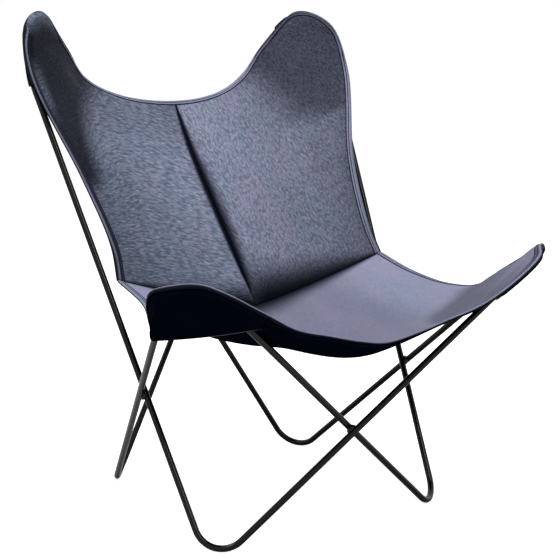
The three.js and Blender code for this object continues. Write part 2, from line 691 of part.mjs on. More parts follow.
grids.backPocketRight = pocketGrid(backFlat, "back", "right", backRim);
grids.backPocketLeft = pocketGrid(backFlat, "back", "left", backRim);
grids.seatPocketRight = pocketGrid(seatHalf, "front", "right", seatRim);
grids.seatPocketLeft = pocketGrid(seatHalf, "front", "left", seatRim);

// Edge binding: a strip round the panel's edge, from notch to notch, with a ring at each place.
function binding(places) {
  const rings = places.map(({ curve, t, middle, flip }) => {
    const { along, inward } = inwards(curve, t, middle);
    const thick = along.clone().cross(inward).normalize();
    const half = BINDING_THICKNESS / 2;
    const outline = [
      [BINDING_WIDTH, half],
      [BINDING_WIDTH / 2, half],
      [0, half / 2],
      [0, -half / 2],
      [BINDING_WIDTH / 2, -half],
      [BINDING_WIDTH, -half],
    ];
    const facing = Math.sign(thick.dot(TOWARDS_SITTER)) || 1;
    return outline.map(([reach, lift]) => {
      const p = plus(plus(curve(t), inward, reach), thick, facing * lift);
      return flip ? mirrored(p) : p;
    });
  });
  const sides = rings[0].length;
  const positions = rings.flat().flatMap((p) => p.toArray());
  const index = [];
  for (let i = 0; i < rings.length - 1; i++)
    for (let k = 0; k < sides; k++) {
      const a = i * sides + k;
      const b = i * sides + ((k + 1) % sides);
      index.push(a, b, a + sides, b, b + sides, a + sides);
    }
  for (let k = 1; k < sides - 1; k++) {
    const last = (rings.length - 1) * sides;
    index.push(0, k + 1, k, last, last + k, last + k + 1);
  }
  return shape(positions, index);
}

const backPlaces = [
  ...ACROSS_SHARES.map((t) => ({ curve: backTop, t, middle: backCentre })),
  ...BACK_DOWN_SHARES.slice(1).map((t) => ({
    curve: backSide,
    t: Math.min(t, 1 - NOTCH_SHARE),
    middle: backCentre,
  })),
];
const seatPlaces = [
  ...ACROSS_SHARES.map((t) => ({ curve: seatFront, t, middle: seatCentre })),
  ...SEAT_DOWN_SHARES.slice(0, -1)
    .reverse()
    .map((t) => ({ curve: seatSide, t: Math.max(t, NOTCH_SHARE), middle: seatCentre })),
];
const bothSides = (places) => [
  ...places
    .slice(1)
    .reverse()
    .map((place) => ({ ...place, flip: true })),
  ...places,
];

// Strips sewn behind the two seams.
const stripOffset = -(LEATHER_THICKNESS + SEAM_STRIP_THICKNESS) / 2 - CLEARANCE;
const stripReach = SEAM_STRIP_WIDTH / 2;

function centreStrip() {
  const down = BACK_DOWN_SHARES.filter((v) => v > 0 && v < 1);
  const end = 1 - CENTRE_STRIP_STOP_LENGTH / backChord.length();
  const rows = [...down.filter((v) => v < end), end];
  const grid = rows.map((v) => {
    const right = backOf.right(0, v);
    const left = backOf.left(0, v);
    const middle = between(left, right, 0.5);
    const step = stripReach / minus(backOf.right(1, v), right).length();
    return [backOf.left(step, v), middle, backOf.right(step, v)];
  });
  return sheet(grid, SEAM_STRIP_THICKNESS, stripOffset);
}

function lumbarStrip() {
  const across = mirroredShares.filter((u) => Math.abs(u) < 1 - NOTCH_SHARE);
  const near = (point, t, start, end) => {
    const step = stripReach / minus(point(t, end), point(t, start)).length();
    return point(t, THREE.MathUtils.lerp(start, end, step));
  };
  const columns = across.map((u) => {
    const t = Math.abs(u);
    const side = u < 0 ? "left" : "right";
    const back = near(backOf[side], t, 1, BACK_DOWN_SHARES[BACK_DOWN_SHARES.length - 3]);
    const front = near(seatOf[side], t, 0, SEAT_DOWN_SHARES[2]);
    const middle = between(backOf[side](t, 1), seatOf[side](t, 0), 0.5);
    return [back, middle, front];
  });
  const grid = [0, 1, 2].map((row) => columns.map((column) => column[row]));
  return sheet(grid, SEAM_STRIP_THICKNESS, stripOffset - SEAM_STRIP_THICKNESS / 2);
}

const steel = { color: 0x141416, roughness: 0.35, metalness: 0.8 };
const leather = { color: 0x24252f, roughness: 0.5, metalness: 0 };
const edging = { color: 0x16171f, roughness: 0.55, metalness: 0 };
const chair = new THREE.Group();

function add(name, geometry, finish) {
  const mesh = new THREE.Mesh(geometry, new THREE.MeshStandardMaterial(finish));
  mesh.name = name;
  chair.add(mesh);
}

const rooms = Object.fromEntries(Object.entries(grids).map(([name, grid]) => [name, room(grid)]));
const leatherOf = (grid, ...rest) => cut(sheet(grid, LEATHER_THICKNESS), [...rodCutters, ...rest]);
const clearOf = (geometry, ...names) =>
  cut(geometry, [...rodCutters, ...names.map((name) => rooms[name])]);

add("rod_loop_right", geometryOf(solidOf(closedTube(rightLoop.points, ROD_RADIUS, ROD_SIDES))), steel);
add("rod_loop_left", geometryOf(solidOf(closedTube(leftLoop.points, ROD_RADIUS, ROD_SIDES))), steel);
add("weld_front", weld((p) => p.y < 0 && Math.abs(p.x) < sideStart), steel);
add("weld_rear", weld((p) => p.y > 0 && Math.abs(p.x) < sideStart), steel);
add("weld_left", weld((p) => p.x < -sideStart), steel);
add("weld_right", weld((p) => p.x > sideStart), steel);
add("back_panel_left", leatherOf(grids.backLeft), leather);
add("back_panel_right", leatherOf(grids.backRight), leather);
add("seat_panel", leatherOf(grids.seat), leather);
add("back_pocket_left", leatherOf(grids.backPocketLeft, rooms.backLeft), leather);
add("back_pocket_right", leatherOf(grids.backPocketRight, rooms.backRight), leather);
add("seat_pocket_left", leatherOf(grids.seatPocketLeft, rooms.seat), leather);
add("seat_pocket_right", leatherOf(grids.seatPocketRight, rooms.seat), leather);
add(
  "back_edge_binding",
  clearOf(binding(bothSides(backPlaces)), "backLeft", "backRight", "backPocketLeft", "backPocketRight"),
  edging,
);
add(
  "seat_edge_binding",
  clearOf(binding(bothSides(seatPlaces)), "seat", "seatPocketLeft", "seatPocketRight"),
  edging,
);
add("centre_seam_strip", clearOf(centreStrip(), "backLeft", "backRight"), leather);
add("lumbar_seam_strip", clearOf(lumbarStrip(), "backLeft", "backRight", "seat"), leather);

// The origin is on the floor, in the middle of the chair's outline seen from above.
const outline = new THREE.Box3().setFromObject(chair);
chair.position.y = -(outline.min.y + outline.max.y) / 2;

export default chair;
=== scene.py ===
# %% [markdown]
# # A butterfly sling chair in leather
# Two loops of bent steel rod stand crosswise and are welded where they cross. A leather sling
# hangs from their four tips: its corners are double, and the rod slips into them as a hand slips
# into a glove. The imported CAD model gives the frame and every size. This lesson dresses it: it
# bends smoother rods, sews the leather, and gives each surface a finish made of nodes.

import math

import bpy
import numpy as np
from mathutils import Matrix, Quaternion, Vector
from mathutils.bvhtree import BVHTree


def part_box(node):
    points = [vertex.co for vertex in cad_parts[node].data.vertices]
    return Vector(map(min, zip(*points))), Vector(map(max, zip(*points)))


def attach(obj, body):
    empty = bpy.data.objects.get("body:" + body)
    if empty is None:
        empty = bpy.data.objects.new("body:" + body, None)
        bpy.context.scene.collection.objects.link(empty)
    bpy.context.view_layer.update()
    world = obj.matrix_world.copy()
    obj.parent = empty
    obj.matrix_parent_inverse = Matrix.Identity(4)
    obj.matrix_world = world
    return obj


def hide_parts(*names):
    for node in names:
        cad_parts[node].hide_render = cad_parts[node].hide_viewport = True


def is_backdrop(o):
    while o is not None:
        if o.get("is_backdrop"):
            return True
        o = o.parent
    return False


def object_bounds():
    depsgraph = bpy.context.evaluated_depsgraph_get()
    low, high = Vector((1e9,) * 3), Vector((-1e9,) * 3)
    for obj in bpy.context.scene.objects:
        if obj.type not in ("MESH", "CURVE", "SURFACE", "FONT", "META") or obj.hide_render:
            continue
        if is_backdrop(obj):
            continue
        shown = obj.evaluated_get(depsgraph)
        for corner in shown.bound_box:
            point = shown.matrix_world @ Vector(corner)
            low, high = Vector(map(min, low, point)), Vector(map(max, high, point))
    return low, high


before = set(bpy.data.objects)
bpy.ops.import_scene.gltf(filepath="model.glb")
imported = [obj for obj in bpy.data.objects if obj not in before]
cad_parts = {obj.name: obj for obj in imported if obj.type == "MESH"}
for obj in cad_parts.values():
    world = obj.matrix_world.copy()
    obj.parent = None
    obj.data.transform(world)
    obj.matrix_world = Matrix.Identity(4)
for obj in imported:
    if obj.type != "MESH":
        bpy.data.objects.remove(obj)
cad_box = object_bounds()
print("CAD nodes:", ", ".join(sorted(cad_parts)))

# %% [markdown]
# ## The camera
# The photograph was taken from the chair's front left, a little above the seat, with a fairly
# long lens. It comes first because every later choice is judged through it. A square picture 560
# pixels wide, with a focal length of 1380 pixels, is a lens of about 89 mm.

# %% Camera at the photograph's place
PICTURE = 560
SENSOR = 36.0
FOCAL_PIXELS = 1382.5
CENTRE_PIXELS = (281.2, 279.8)
AZIMUTH, ELEVATION, ROLL = (math.radians(x) for x in (-31.4509, 10.3967, -0.394))
TARGET = Vector((0.0135, -0.0237, 0.4273))
DISTANCE = 2.627

camera = bpy.data.objects.new("camera", bpy.data.cameras.new("camera"))
bpy.context.scene.collection.objects.link(camera)
level = math.cos(ELEVATION)
backwards = Vector((math.sin(AZIMUTH) * level, -math.cos(AZIMUTH) * level, math.sin(ELEVATION)))
camera.location = TARGET + backwards * DISTANCE
camera.rotation_mode = "QUATERNION"
camera.rotation_quaternion = Quaternion(backwards, ROLL) @ (-backwards).to_track_quat("-Z", "Y")
camera.data.sensor_width = SENSOR
camera.data.lens = FOCAL_PIXELS * SENSOR / PICTURE
camera.data.shift_x = (PICTURE / 2 - CENTRE_PIXELS[0]) / PICTURE
camera.data.shift_y = (CENTRE_PIXELS[1] - PICTURE / 2) / PICTURE
bpy.context.scene.camera = camera
print(f"Lens {camera.data.lens:.1f} mm at {DISTANCE:.2f} m")

# %% [markdown]
# ## Sizes
# These are the CAD part's own named sizes, repeated here because a scene may not read the part's
# source. The sling's outline is given as shares of the corner where the straight legs of the rod
# would meet, so the leather follows the frame.

# %% Sizes of the frame and the sling
MM = 0.001
ROD_RADIUS = 6 * MM
BACK_CORNER = np.array([373, 441, 1002]) * MM
FRONT_CORNER = np.array([396, 376, 558]) * MM
FRONT_FOOT_DEPTH = 192 * MM
REAR_FOOT = np.array([214, 287]) * MM
BEND_RADIUS = 50 * MM
BACK_TIP_SHARES = np.array([0.82, 0.859, 0.919])
BACK_TIP_HALF_WIDTH = 55 * MM
BACK_TIP_ROUND_SHARE = 0.97
BACK_BEND_LENGTH = 228 * MM
BACK_BEND_RADIUS = 170 * MM
ROD_STEP = 12.9 * MM
CLEARANCE = 0.3 * MM
LEATHER = 3.2 * MM
CENTRE_GROOVE_DEPTH, CENTRE_GROOVE_WIDTH = 14 * MM, 30 * MM
SWELL_FADE_SHARES = (0.3, 0.9)
BELLY_DEPTH, BELLY_ROLL_LENGTH, BELLY_START_SHARE = 22 * MM, 50 * MM, 0.75
LUMBAR = np.array([0, 75, 366]) * MM
NOTCH = np.array([295, 68, 446]) * MM
BACK_BOW_DEPTH = 12 * MM
SEAT_RISE_HEIGHT, SEAT_RISE_END_SHARE = 9 * MM, 0.7
MOUTH_BOW_DEPTH = 9 * MM
LUMBAR_CURVE_SHARE, SEAT_CURVE_SHARE = 1.15, 1.6
POCKET_DEPTH = {"back": 150 * MM, "front": 120 * MM}
TIP_SPINE_LENGTH = 100 * MM
TURN_START_SHARE = 0.4
TAUT_RISE = 42 * MM
POCKET_END_SHARE = 0.04

BACK_EDGE = np.array([
    (0, 0.914, 0.747), (0.308, 0.955, 0.762), (0.499, 0.995, 0.799), (0.622, 0.966, 0.862),
    (0.796, 0.887, 0.93), (0.936, 0.771, 0.905), (0.968, 0.653, 0.811), (0.828, 0.424, 0.626),
    (0.775, 0.236, 0.503),
])
BACK_APEX = 4
SEAT_EDGE = np.array([
    (0.755, 0.109, 0.756), (0.818, 0.306, 0.729), (0.889, 0.479, 0.737), (0.937, 0.564, 0.785),
    (0.99, 0.66, 0.835), (1.015, 0.766, 0.884), (0.965, 0.856, 0.903), (0.879, 0.939, 0.909),
    (0.808, 1.019, 0.887), (0.646, 1.043, 0.821), (0.482, 1.019, 0.758), (0.311, 1, 0.724),
    (0.144, 0.98, 0.692), (0, 0.968, 0.675),
])
SEAT_APEX = 6
SEAT_MIDDLE = np.array([(0, 0.16, 0.602), (0, 0.49, 0.577), (0, 0.8, 0.614)])
BACK_MOUTH = {"across": 0.64, "down": 0.34}
SEAT_MOUTH = {"across": 0.54, "down": 0.55}

# %% [markdown]
# ## Vector helpers
# NumPy works on whole lists of points at once. A list of points is an array whose last axis
# holds x, y and z, so these few helpers serve one point or fifty thousand alike.

# %% Vector helpers
MIRROR = np.array([-1, 1, 1])
FLIP = {"right": 1, "left": MIRROR}
TINY = 1e-12


def unit(v):
    return v / np.maximum(np.linalg.norm(v, axis=-1, keepdims=True), TINY)


def dot(a, b):
    return (a * b).sum(-1, keepdims=True)


def smooth(t):
    t = np.clip(t, 0, 1)
    return t * t * (3 - 2 * t)


def lerp(a, b, t):
    return a + (b - a) * t


def both(u, v):
    return np.broadcast_arrays(np.asarray(u, float), np.asarray(v, float))


# %% [markdown]
# ## The rod's path
# A bent rod is straight legs joined by round bends, so its path is found as it is for a bending
# machine: the corner where two legs would meet, and the radius of the bend. A spline through the
# corners would bulge where the real legs are dead straight.

# %% Round bends
ARC_STEP = math.radians(3)
SOLVER_PASSES = 8


def bend(a, b, c, radius):
    to_a, to_c = unit(a - b), unit(c - b)
    half = math.acos(np.clip(to_a @ to_c, -1, 1)) / 2
    centre = b + unit(to_a + to_c) * radius / math.sin(half)
    start = b + to_a * radius / math.tan(half) - centre
    end = b + to_c * radius / math.tan(half) - centre
    sweep = math.pi - 2 * half
    turn = np.linspace(0, sweep, max(2, math.ceil(sweep / ARC_STEP)) + 1)[:, None]
    side = unit(end - start * math.cos(sweep)) * radius
    return centre + start * np.cos(turn) + side * np.sin(turn)


def foot_corner(x, y, a, c):
    corner = np.array([x, y, 0.0])
    for _ in range(SOLVER_PASSES):
        corner[2] += ROD_RADIUS - bend(a, corner, c, BEND_RADIUS)[:, 2].min()
    return corner


# %% One loop


def right_hand_loop(front_foot_half_width):
    back = BACK_CORNER
    front = FRONT_CORNER * (-1, -1, 1)
    front_foot = foot_corner(front_foot_half_width, -FRONT_FOOT_DEPTH, back, front)
    rear_foot = foot_corner(-REAR_FOOT[0], REAR_FOOT[1], front, back)
    outer = back + unit(front_foot - back) * BACK_BEND_LENGTH
    inner = back + unit(rear_foot - back) * BACK_BEND_LENGTH
    top = back * BACK_TIP_SHARES
    across = unit(inner - outer) * BACK_TIP_HALF_WIDTH
    round_tip = BACK_TIP_HALF_WIDTH * BACK_TIP_ROUND_SHARE
    corners = [
        (outer, BACK_BEND_RADIUS), (front_foot, BEND_RADIUS), (front, BEND_RADIUS),
        (rear_foot, BEND_RADIUS), (inner, BACK_BEND_RADIUS),
        (top + across, round_tip), (top - across, round_tip),
    ]
    count = len(corners)
    arcs = [
        bend(corners[i - 1][0], corner, corners[(i + 1) % count][0], radius)
        for i, (corner, radius) in enumerate(corners)
    ]
    feet = {"front_foot": front_foot, "rear_foot": rear_foot}
    return {"points": np.concatenate(arcs), "back": back, "front": front, "top": top, **feet}


# %% Let the two loops touch
narrow = right_hand_loop(REAR_FOOT[0])
front_leg = narrow["front"] - narrow["front_foot"]
front_normal = unit(np.cross(front_leg, front_leg * MIRROR))
rearwards = np.array([0, ROD_STEP / 2 / abs(front_normal[1]), 0])


def placed(loop, on_left):
    return {name: p * MIRROR - rearwards if on_left else p + rearwards for name, p in loop.items()}


def side_gap(half_width, on_left):
    own = placed(right_hand_loop(half_width), on_left)
    other = placed(narrow, not on_left)
    across = unit(np.cross(own["front_foot"] - own["back"], other["rear_foot"] - other["front"]))
    return (other["front"] - own["back"]) @ across


def touching_loop(on_left):
    half_width = REAR_FOOT[0]
    aim = math.copysign(ROD_STEP, side_gap(half_width, on_left))
    for _ in range(SOLVER_PASSES):
        gap = side_gap(half_width, on_left)
        slope = (side_gap(half_width + CLEARANCE, on_left) - gap) / CLEARANCE
        half_width += (aim - gap) / slope
    return placed(right_hand_loop(half_width), on_left)


loops = {"right": touching_loop(False), "left": touching_loop(True)}
# The CAD part stands over the origin, so everything made here is moved as its rods were.
rearmost = loops["right"]["points"][:, 1].max() + ROD_RADIUS
STAND = np.array([0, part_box("rod_loop_right")[1].y - rearmost, 0])
print(f"The chair stands {STAND[1] / MM:.2f} mm off the sizes' own origin")

# %% [markdown]
# ## Making meshes
# Everything below ends in one of two shapes: a tube swept round a path, or a sheet through a
# grid of points. Both are plain lists of vertices and faces, moved to the chair's place.

# %% A mesh object


def mesh_object(name, points, faces, materials=(), cad=()):
    mesh = bpy.data.meshes.new(name)
    mesh.from_pydata((points + STAND).tolist(), [], faces)
    mesh.polygons.foreach_set("use_smooth", [True] * len(mesh.polygons))
    mesh.update()
    made = bpy.data.objects.new(name, mesh)
    bpy.context.scene.collection.objects.link(made)
    for material in materials:
        mesh.materials.append(material)
    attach(made, "root")
    if cad:
        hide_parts(*cad)
    return made


# %% A tube round a path


def ring_faces(rings, sides, closed=False):
    """The faces of a tube. Its ends are capped unless it closes on itself."""
    faces = []
    for i in range(rings if closed else rings - 1):
        for k in range(sides):
            a, b = i * sides + k, i * sides + (k + 1) % sides
            c, d = (i + 1) % rings * sides + k, (i + 1) % rings * sides + (k + 1) % sides
            faces.append((a, b, d, c))
    if not closed:
        faces += [tuple(range(sides))[::-1], tuple(range((rings - 1) * sides, rings * sides))]
    return faces


def closed_tube(path, radius, sides):
    ahead = unit(np.roll(path, -1, 0) - np.roll(path, 1, 0))
    side = unit(np.cross(ahead[-1], (0, 0, 1)))
    sides_along = []
    for direction in ahead:
        side = unit(side - direction * (side @ direction))
        sides_along.append(side)
    side = np.array(sides_along)
    carried = unit(side[-1] - ahead[0] * (side[-1] @ ahead[0]))
    twist = math.atan2(ahead[0] @ np.cross(carried, side[0]), carried @ side[0])
    up = np.cross(ahead, side)
    twists = twist * np.arange(len(path))[:, None] / len(path)
    turn = np.arange(sides) * 2 * math.pi / sides + twists
    arm = side[:, None] * np.cos(turn)[..., None] + up[:, None] * np.sin(turn)[..., None]
    return (path[:, None] + arm * radius).reshape(-1, 3), ring_faces(len(path), sides, True)


# %% [markdown]
# ## Node helpers
# A finish is a small graph of nodes. Written one link at a time it hides what it does, so a
# socket is wrapped in a class that knows arithmetic: `1 - mask * 0.4` adds its Math nodes. Every
# other node comes from one method, which takes the node's settings first and then its sockets.

# %% Sockets that know arithmetic


class Link:
    """One output socket, with arithmetic that adds Math nodes."""

    def __init__(self, finish, socket):
        self.finish, self.socket = finish, socket

    def __add__(self, other):
        return self.finish.math("ADD", self, other)

    def __sub__(self, other):
        return self.finish.math("SUBTRACT", self, other)

    def __rsub__(self, other):
        return self.finish.math("SUBTRACT", other, self)

    def __mul__(self, other):
        return self.finish.math("MULTIPLY", self, other)

    __radd__, __rmul__ = __add__, __mul__


class Node:
    """One node, whose outputs are read by name."""

    def __init__(self, finish, node):
        self.finish, self.node = finish, node

    def __getitem__(self, name):
        return Link(self.finish, named_socket(self.node.outputs, name))


def named_socket(sockets, name):
    for socket in sockets:
        if name in (socket.identifier, socket.name) and socket.enabled:
            return socket
    raise KeyError(f"no socket {name}: {[s.identifier for s in sockets]}")


# %% A finish and its nodes


class Finish:
    """A material, or the world, and the tree its nodes go into."""

    def __init__(self, name, kind="materials"):
        self.material = getattr(bpy.data, kind).new(name)
        self.material.use_nodes = True
        self.tree = self.material.node_tree
        self.tree.nodes.clear()

    def node(self, kind, settings=None, inputs=None):
        made = self.tree.nodes.new("ShaderNode" + kind)
        for key, value in (settings or {}).items():
            if key == "stops":
                self.set_stops(made.color_ramp, value)
            else:
                setattr(made, key, value)
        pairs = inputs.items() if isinstance(inputs, dict) else enumerate(inputs or [])
        for key, value in pairs:
            socket = made.inputs[key] if isinstance(key, int) else named_socket(made.inputs, key)
            if isinstance(value, Link):
                self.tree.links.new(value.socket, socket)
            else:
                socket.default_value = value
        return Node(self, made)

    def math(self, operation, *values):
        return self.node("Math", {"operation": operation}, list(values))["Value"]

    @staticmethod
    def set_stops(ramp, stops):
        while len(ramp.elements) < len(stops):
            ramp.elements.new(0.5)
        for element, (place, value) in zip(ramp.elements, stops):
            element.position = place
            element.color = (value, value, value, 1)

    def ramp(self, value, *stops):
        return self.node("ValToRGB", {"stops": stops}, {"Fac": value})["Color"]

    def noise(self, vector, scale, detail=2.0, roughness=0.5):
        sockets = {"Vector": vector, "Scale": scale, "Detail": detail, "Roughness": roughness}
        return self.node("TexNoise", {}, sockets)["Fac"]

    def mix(self, factor, a, b):
        sockets = {"Factor_Float": factor, "A_Color": a, "B_Color": b}
        return self.node("Mix", {"data_type": "RGBA"}, sockets)["Result_Color"]

    def bump(self, height, strength, distance):
        sockets = {"Height": height, "Strength": strength, "Distance": distance}
        return self.node("Bump", {}, sockets)["Normal"]

    def surface(self, **sockets):
        named = {key.replace("_", " "): value for key, value in sockets.items()}
        shader = self.node("BsdfPrincipled", {}, named)
        self.node("OutputMaterial", {}, {"Surface": shader["BSDF"]})
        return self.material


def tint(r, g, b):
    return (r, g, b, 1.0)


# %% [markdown]
# ## Black rod
# The rods are steel under a thin coat of black paint. Paint is not a metal, so Metallic stays at
# zero. A low roughness draws the narrow bright line that runs along a rod, and a low specular
# level keeps the white studio all round from turning the black to grey.

# %% Rod paint
PAINT, RUBBED_PAINT = tint(0.001, 0.001, 0.001), tint(0.006, 0.006, 0.007)
PAINT_CLOUDS, PAINT_SCUFFS, PAINT_PEEL = 9, 60, 700


def rod_paint():
    finish = Finish("black_rod_paint")
    place = finish.node("TexCoord")["Object"]
    cloud = finish.noise(place, PAINT_CLOUDS, 3)
    peel = finish.noise(place, PAINT_PEEL, 2)
    scuff = finish.ramp(finish.noise(place, PAINT_SCUFFS, 5, 0.7), (0.55, 0), (0.8, 1))
    return finish.surface(
        Base_Color=finish.mix(scuff * 0.35, PAINT, RUBBED_PAINT),
        Roughness=cloud * 0.06 + 0.1 + scuff * 0.1,
        Normal=finish.bump(peel, 0.05, 0.3 * MM),
        Specular_IOR_Level=0.2,
    )


paint = rod_paint()
print("Paint:", len(paint.node_tree.nodes), "nodes")

# %% Rods and welds
ROD_SIDES = 32

for hand, loop in loops.items():
    points, faces = closed_tube(loop["points"], ROD_RADIUS, ROD_SIDES)
    mesh_object(
        "bent_rod_" + hand, points, faces, [paint], ["rod_loop_" + hand]
    )
for place in ("front", "rear", "left", "right"):
    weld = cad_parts["weld_" + place]
    weld.data.materials.clear()
    weld.data.materials.append(paint)
print("Bent", len(loops), "rods of", ROD_SIDES, "sides")

# %% [markdown]
# ## The sling's outline
# The sling's edge is a smooth curve through a few measured places, read by its own length so
# that points spread evenly. A centripetal Catmull-Rom spline passes through every place without
# the loops that a plain one makes where places lie close together.

# %% Curves of the sling
CURVE_SAMPLES = 1600


class Curve:
    """The stretch of a smooth curve between two of its points, read by share of its length."""

    def __init__(self, points, start, end):
        # Each step weighs as the square root of its length, which is what centripetal means.
        points = np.asarray(points, float)
        ends = [2 * points[0] - points[1]], [2 * points[-1] - points[-2]]
        knots = np.concatenate([ends[0], points, ends[1]])
        t = np.linspace(start, end, CURVE_SAMPLES + 1)
        i = np.minimum(t.astype(int), len(points) - 2)
        w = (t - i)[:, None]
        a, b, c, d = (knots[i + k] for k in range(4))
        before, here, after = (
            np.sqrt(np.linalg.norm(step, axis=1, keepdims=True)) for step in (b - a, c - b, d - c)
        )
        leave = ((b - a) / before - (c - a) / (before + here) + (c - b) / here) * here
        arrive = ((c - b) / here - (d - b) / (here + after) + (d - c) / after) * here
        square, cube = 3 * (c - b) - 2 * leave - arrive, 2 * (b - c) + leave + arrive
        self.points = b + leave * w + square * w**2 + cube * w**3
        lengths = np.linalg.norm(np.diff(self.points, axis=0), axis=1)
        self.share = np.concatenate([[0], np.cumsum(lengths)]) / lengths.sum()

    def __call__(self, t):
        t = np.clip(t, 0, 1)
        return np.stack([np.interp(t, self.share, self.points[:, k]) for k in range(3)], -1)


# %% The sling's edges and seams
back_points = BACK_EDGE * BACK_CORNER
seat_points = SEAT_EDGE * FRONT_CORNER * (1, -1, 1)
back_edge = [back_points[1] * MIRROR, *back_points, NOTCH]
seat_edge = [NOTCH, *seat_points, seat_points[-2] * MIRROR]
back_top = Curve(back_edge, 1, BACK_APEX + 1)
back_side = Curve(back_edge, BACK_APEX + 1, len(back_edge) - 1)
seat_side = Curve(seat_edge, 0, SEAT_APEX + 1)
seat_front_inwards = Curve(seat_edge, SEAT_APEX + 1, len(seat_edge) - 2)


def seat_front(t):
    return seat_front_inwards(1 - np.asarray(t, float))


seat_middle = [LUMBAR, *(SEAT_MIDDLE * FRONT_CORNER * (1, -1, 1)), seat_front(0)]
seat_mid = Curve(seat_middle, 0, len(seat_middle) - 1)
back_chord = LUMBAR - back_points[0]
behind = unit(np.array([0, -back_chord[2], back_chord[1]]))


def back_mid(t):
    t = np.asarray(t, float)[..., None]
    return lerp(back_points[0], LUMBAR, t) + behind * BACK_BOW_DEPTH * np.sin(math.pi * t)


def rise(t):
    return np.asarray(t, float) ** SEAT_CURVE_SHARE


def lumbar_seam(t):
    t = np.asarray(t, float)
    height = lerp(LUMBAR[2], NOTCH[2], t**LUMBAR_CURVE_SHARE)
    return np.stack([NOTCH[0] * t, lerp(LUMBAR[1], NOTCH[1], t), height], -1)


print(f"Centre seam: {np.linalg.norm(back_chord) / MM:.0f} mm from top to lumbar seam")

# %% [markdown]
# ## Panels of leather
# Each half of the back, and each half of the seat, is a patch stretched between four edges, as
# a soap film is between four wires. Its edge is drawn in a little, because the edge band wraps
# round it, and at a seam it stops just short of its neighbour.

# %% Patches between four edges


def even(t):
    return t


def patch(top, bottom, left, right, height=even):
    def mix(a, b, t):
        p = lerp(a, b, t[..., None])
        p[..., 2] = lerp(a[..., 2], b[..., 2], height(t))
        return p

    def point(u, v):
        u, v = both(u, v)
        across = mix(left(v), right(v), u)
        down = lerp(top(u), bottom(u), v[..., None])
        ends = [mix(edge(0 * u), edge(0 * u + 1), u) for edge in (top, bottom)]
        return across + down - lerp(*ends, v[..., None])

    return point


# %% A panel inside its edges
EDGE_INSET, SEAM_INSET = 1.4 * MM, 0.5 * MM
EDGE_STEP = 1 / 240


def inward_of(curve, t, middle):
    along = unit(curve(np.minimum(t + EDGE_STEP, 1)) - curve(np.maximum(t - EDGE_STEP, 0)))
    inward = middle - curve(t)
    return along, unit(inward - along * dot(inward, along))


def half_panel(top, bottom, left, right, height=even, rim="top", seam_left=False):
    """A patch drawn in at its outer edges, and stopped short of its neighbours at the seams."""
    middle = patch(top, bottom, left, right, height)(0.5, 0.5)

    def drawn(curve):
        return lambda t: curve(t) + inward_of(curve, np.asarray(t, float), middle)[1] * EDGE_INSET

    def seamed(curve):
        return lambda t: curve(t) + unit((middle - curve(t)) * (0, 1, 1)) * SEAM_INSET

    def pinned(curve, start, end):
        def point(t):
            t = np.asarray(t, float)
            s = t[..., None]
            return curve(t) + (start - curve(0.0)) * (1 - s) + (end - curve(1.0)) * s

        return point

    upper = drawn(top) if rim == "top" else seamed(top)
    lower = drawn(bottom) if rim == "bottom" else seamed(bottom)
    side = drawn(right)
    outer = upper(1.0) if rim == "top" else lower(1.0)
    shift = np.array([SEAM_INSET if seam_left else 0, 0, 0])
    top_left, bottom_left = upper(0.0) + shift, lower(0.0) + shift
    top_right = outer if rim == "top" else side(0.0) + upper(1.0) - top(1.0)
    bottom_right = outer if rim == "bottom" else side(1.0) + lower(1.0) - bottom(1.0)
    rims = pinned(upper, top_left, top_right), pinned(lower, bottom_left, bottom_right)
    sides = pinned(left, top_left, bottom_left), pinned(side, top_right, bottom_right)
    return patch(*rims, *sides, height)


# %% Half of the back and half of the seat
back_edges = (back_top, lumbar_seam, back_mid, back_side)
seat_edges = (lumbar_seam, seat_front, seat_mid, seat_side, rise)
back_centre = patch(*back_edges)(0.5, 0.5)
seat_centre = patch(*seat_edges)(0.5, 0.5)
back_flat = half_panel(*back_edges, rim="top", seam_left=True)
seat_flat = half_panel(*seat_edges, rim="bottom")


def seat_half(u, v):
    u, v = both(u, v)
    taut = np.sin(math.pi * np.clip(u / SEAT_RISE_END_SHARE, 0, 1)) ** 2
    lift = SEAT_RISE_HEIGHT * taut * np.sin(math.pi * v)
    return seat_flat(u, v) + np.array([0, 0, 1]) * lift[..., None]


def back_half(u, v):
    u, v = both(u, v)
    p = back_flat(u, v)
    from_seam = np.clip(p[..., 0] / CENTRE_GROOVE_WIDTH, 0, 1)
    start, end = SWELL_FADE_SHARES
    fade = 1 - smooth((u - start) / (end - start))
    to_lumbar = (1 - v) * np.linalg.norm(back_chord)
    roll = 1 - (1 - np.clip(to_lumbar / BELLY_ROLL_LENGTH, 0, 1)) ** 2
    swell = CENTRE_GROOVE_DEPTH * fade * np.sin(math.pi * v)
    swell = swell + BELLY_DEPTH * (1 - u) * smooth(v / BELLY_START_SHARE) * roll
    return p - behind * ((1 - (1 - from_seam) ** 2) * swell)[..., None]


print(f"Middle of the back {back_centre[2] / MM:.0f} mm up, of the seat {seat_centre[2] / MM:.0f}")

# %% [markdown]
# ## Leather over the rod
# Near a tip the leather is taut: from its edge it runs straight to the rod, follows the rod
# round, and goes straight across inside the bend. Where the edge lies behind the rod, the leather
# is wound round it instead. That is geometry, so it is worked out rather than simulated, and it
# gives the same fold on every run.

# %% The tip of a rod
DRAPE_RADIUS = ROD_RADIUS + CLEARANCE + LEATHER / 2
LAYER_OFFSET = (LEATHER + CLEARANCE) / 2
CHUNK = 4000


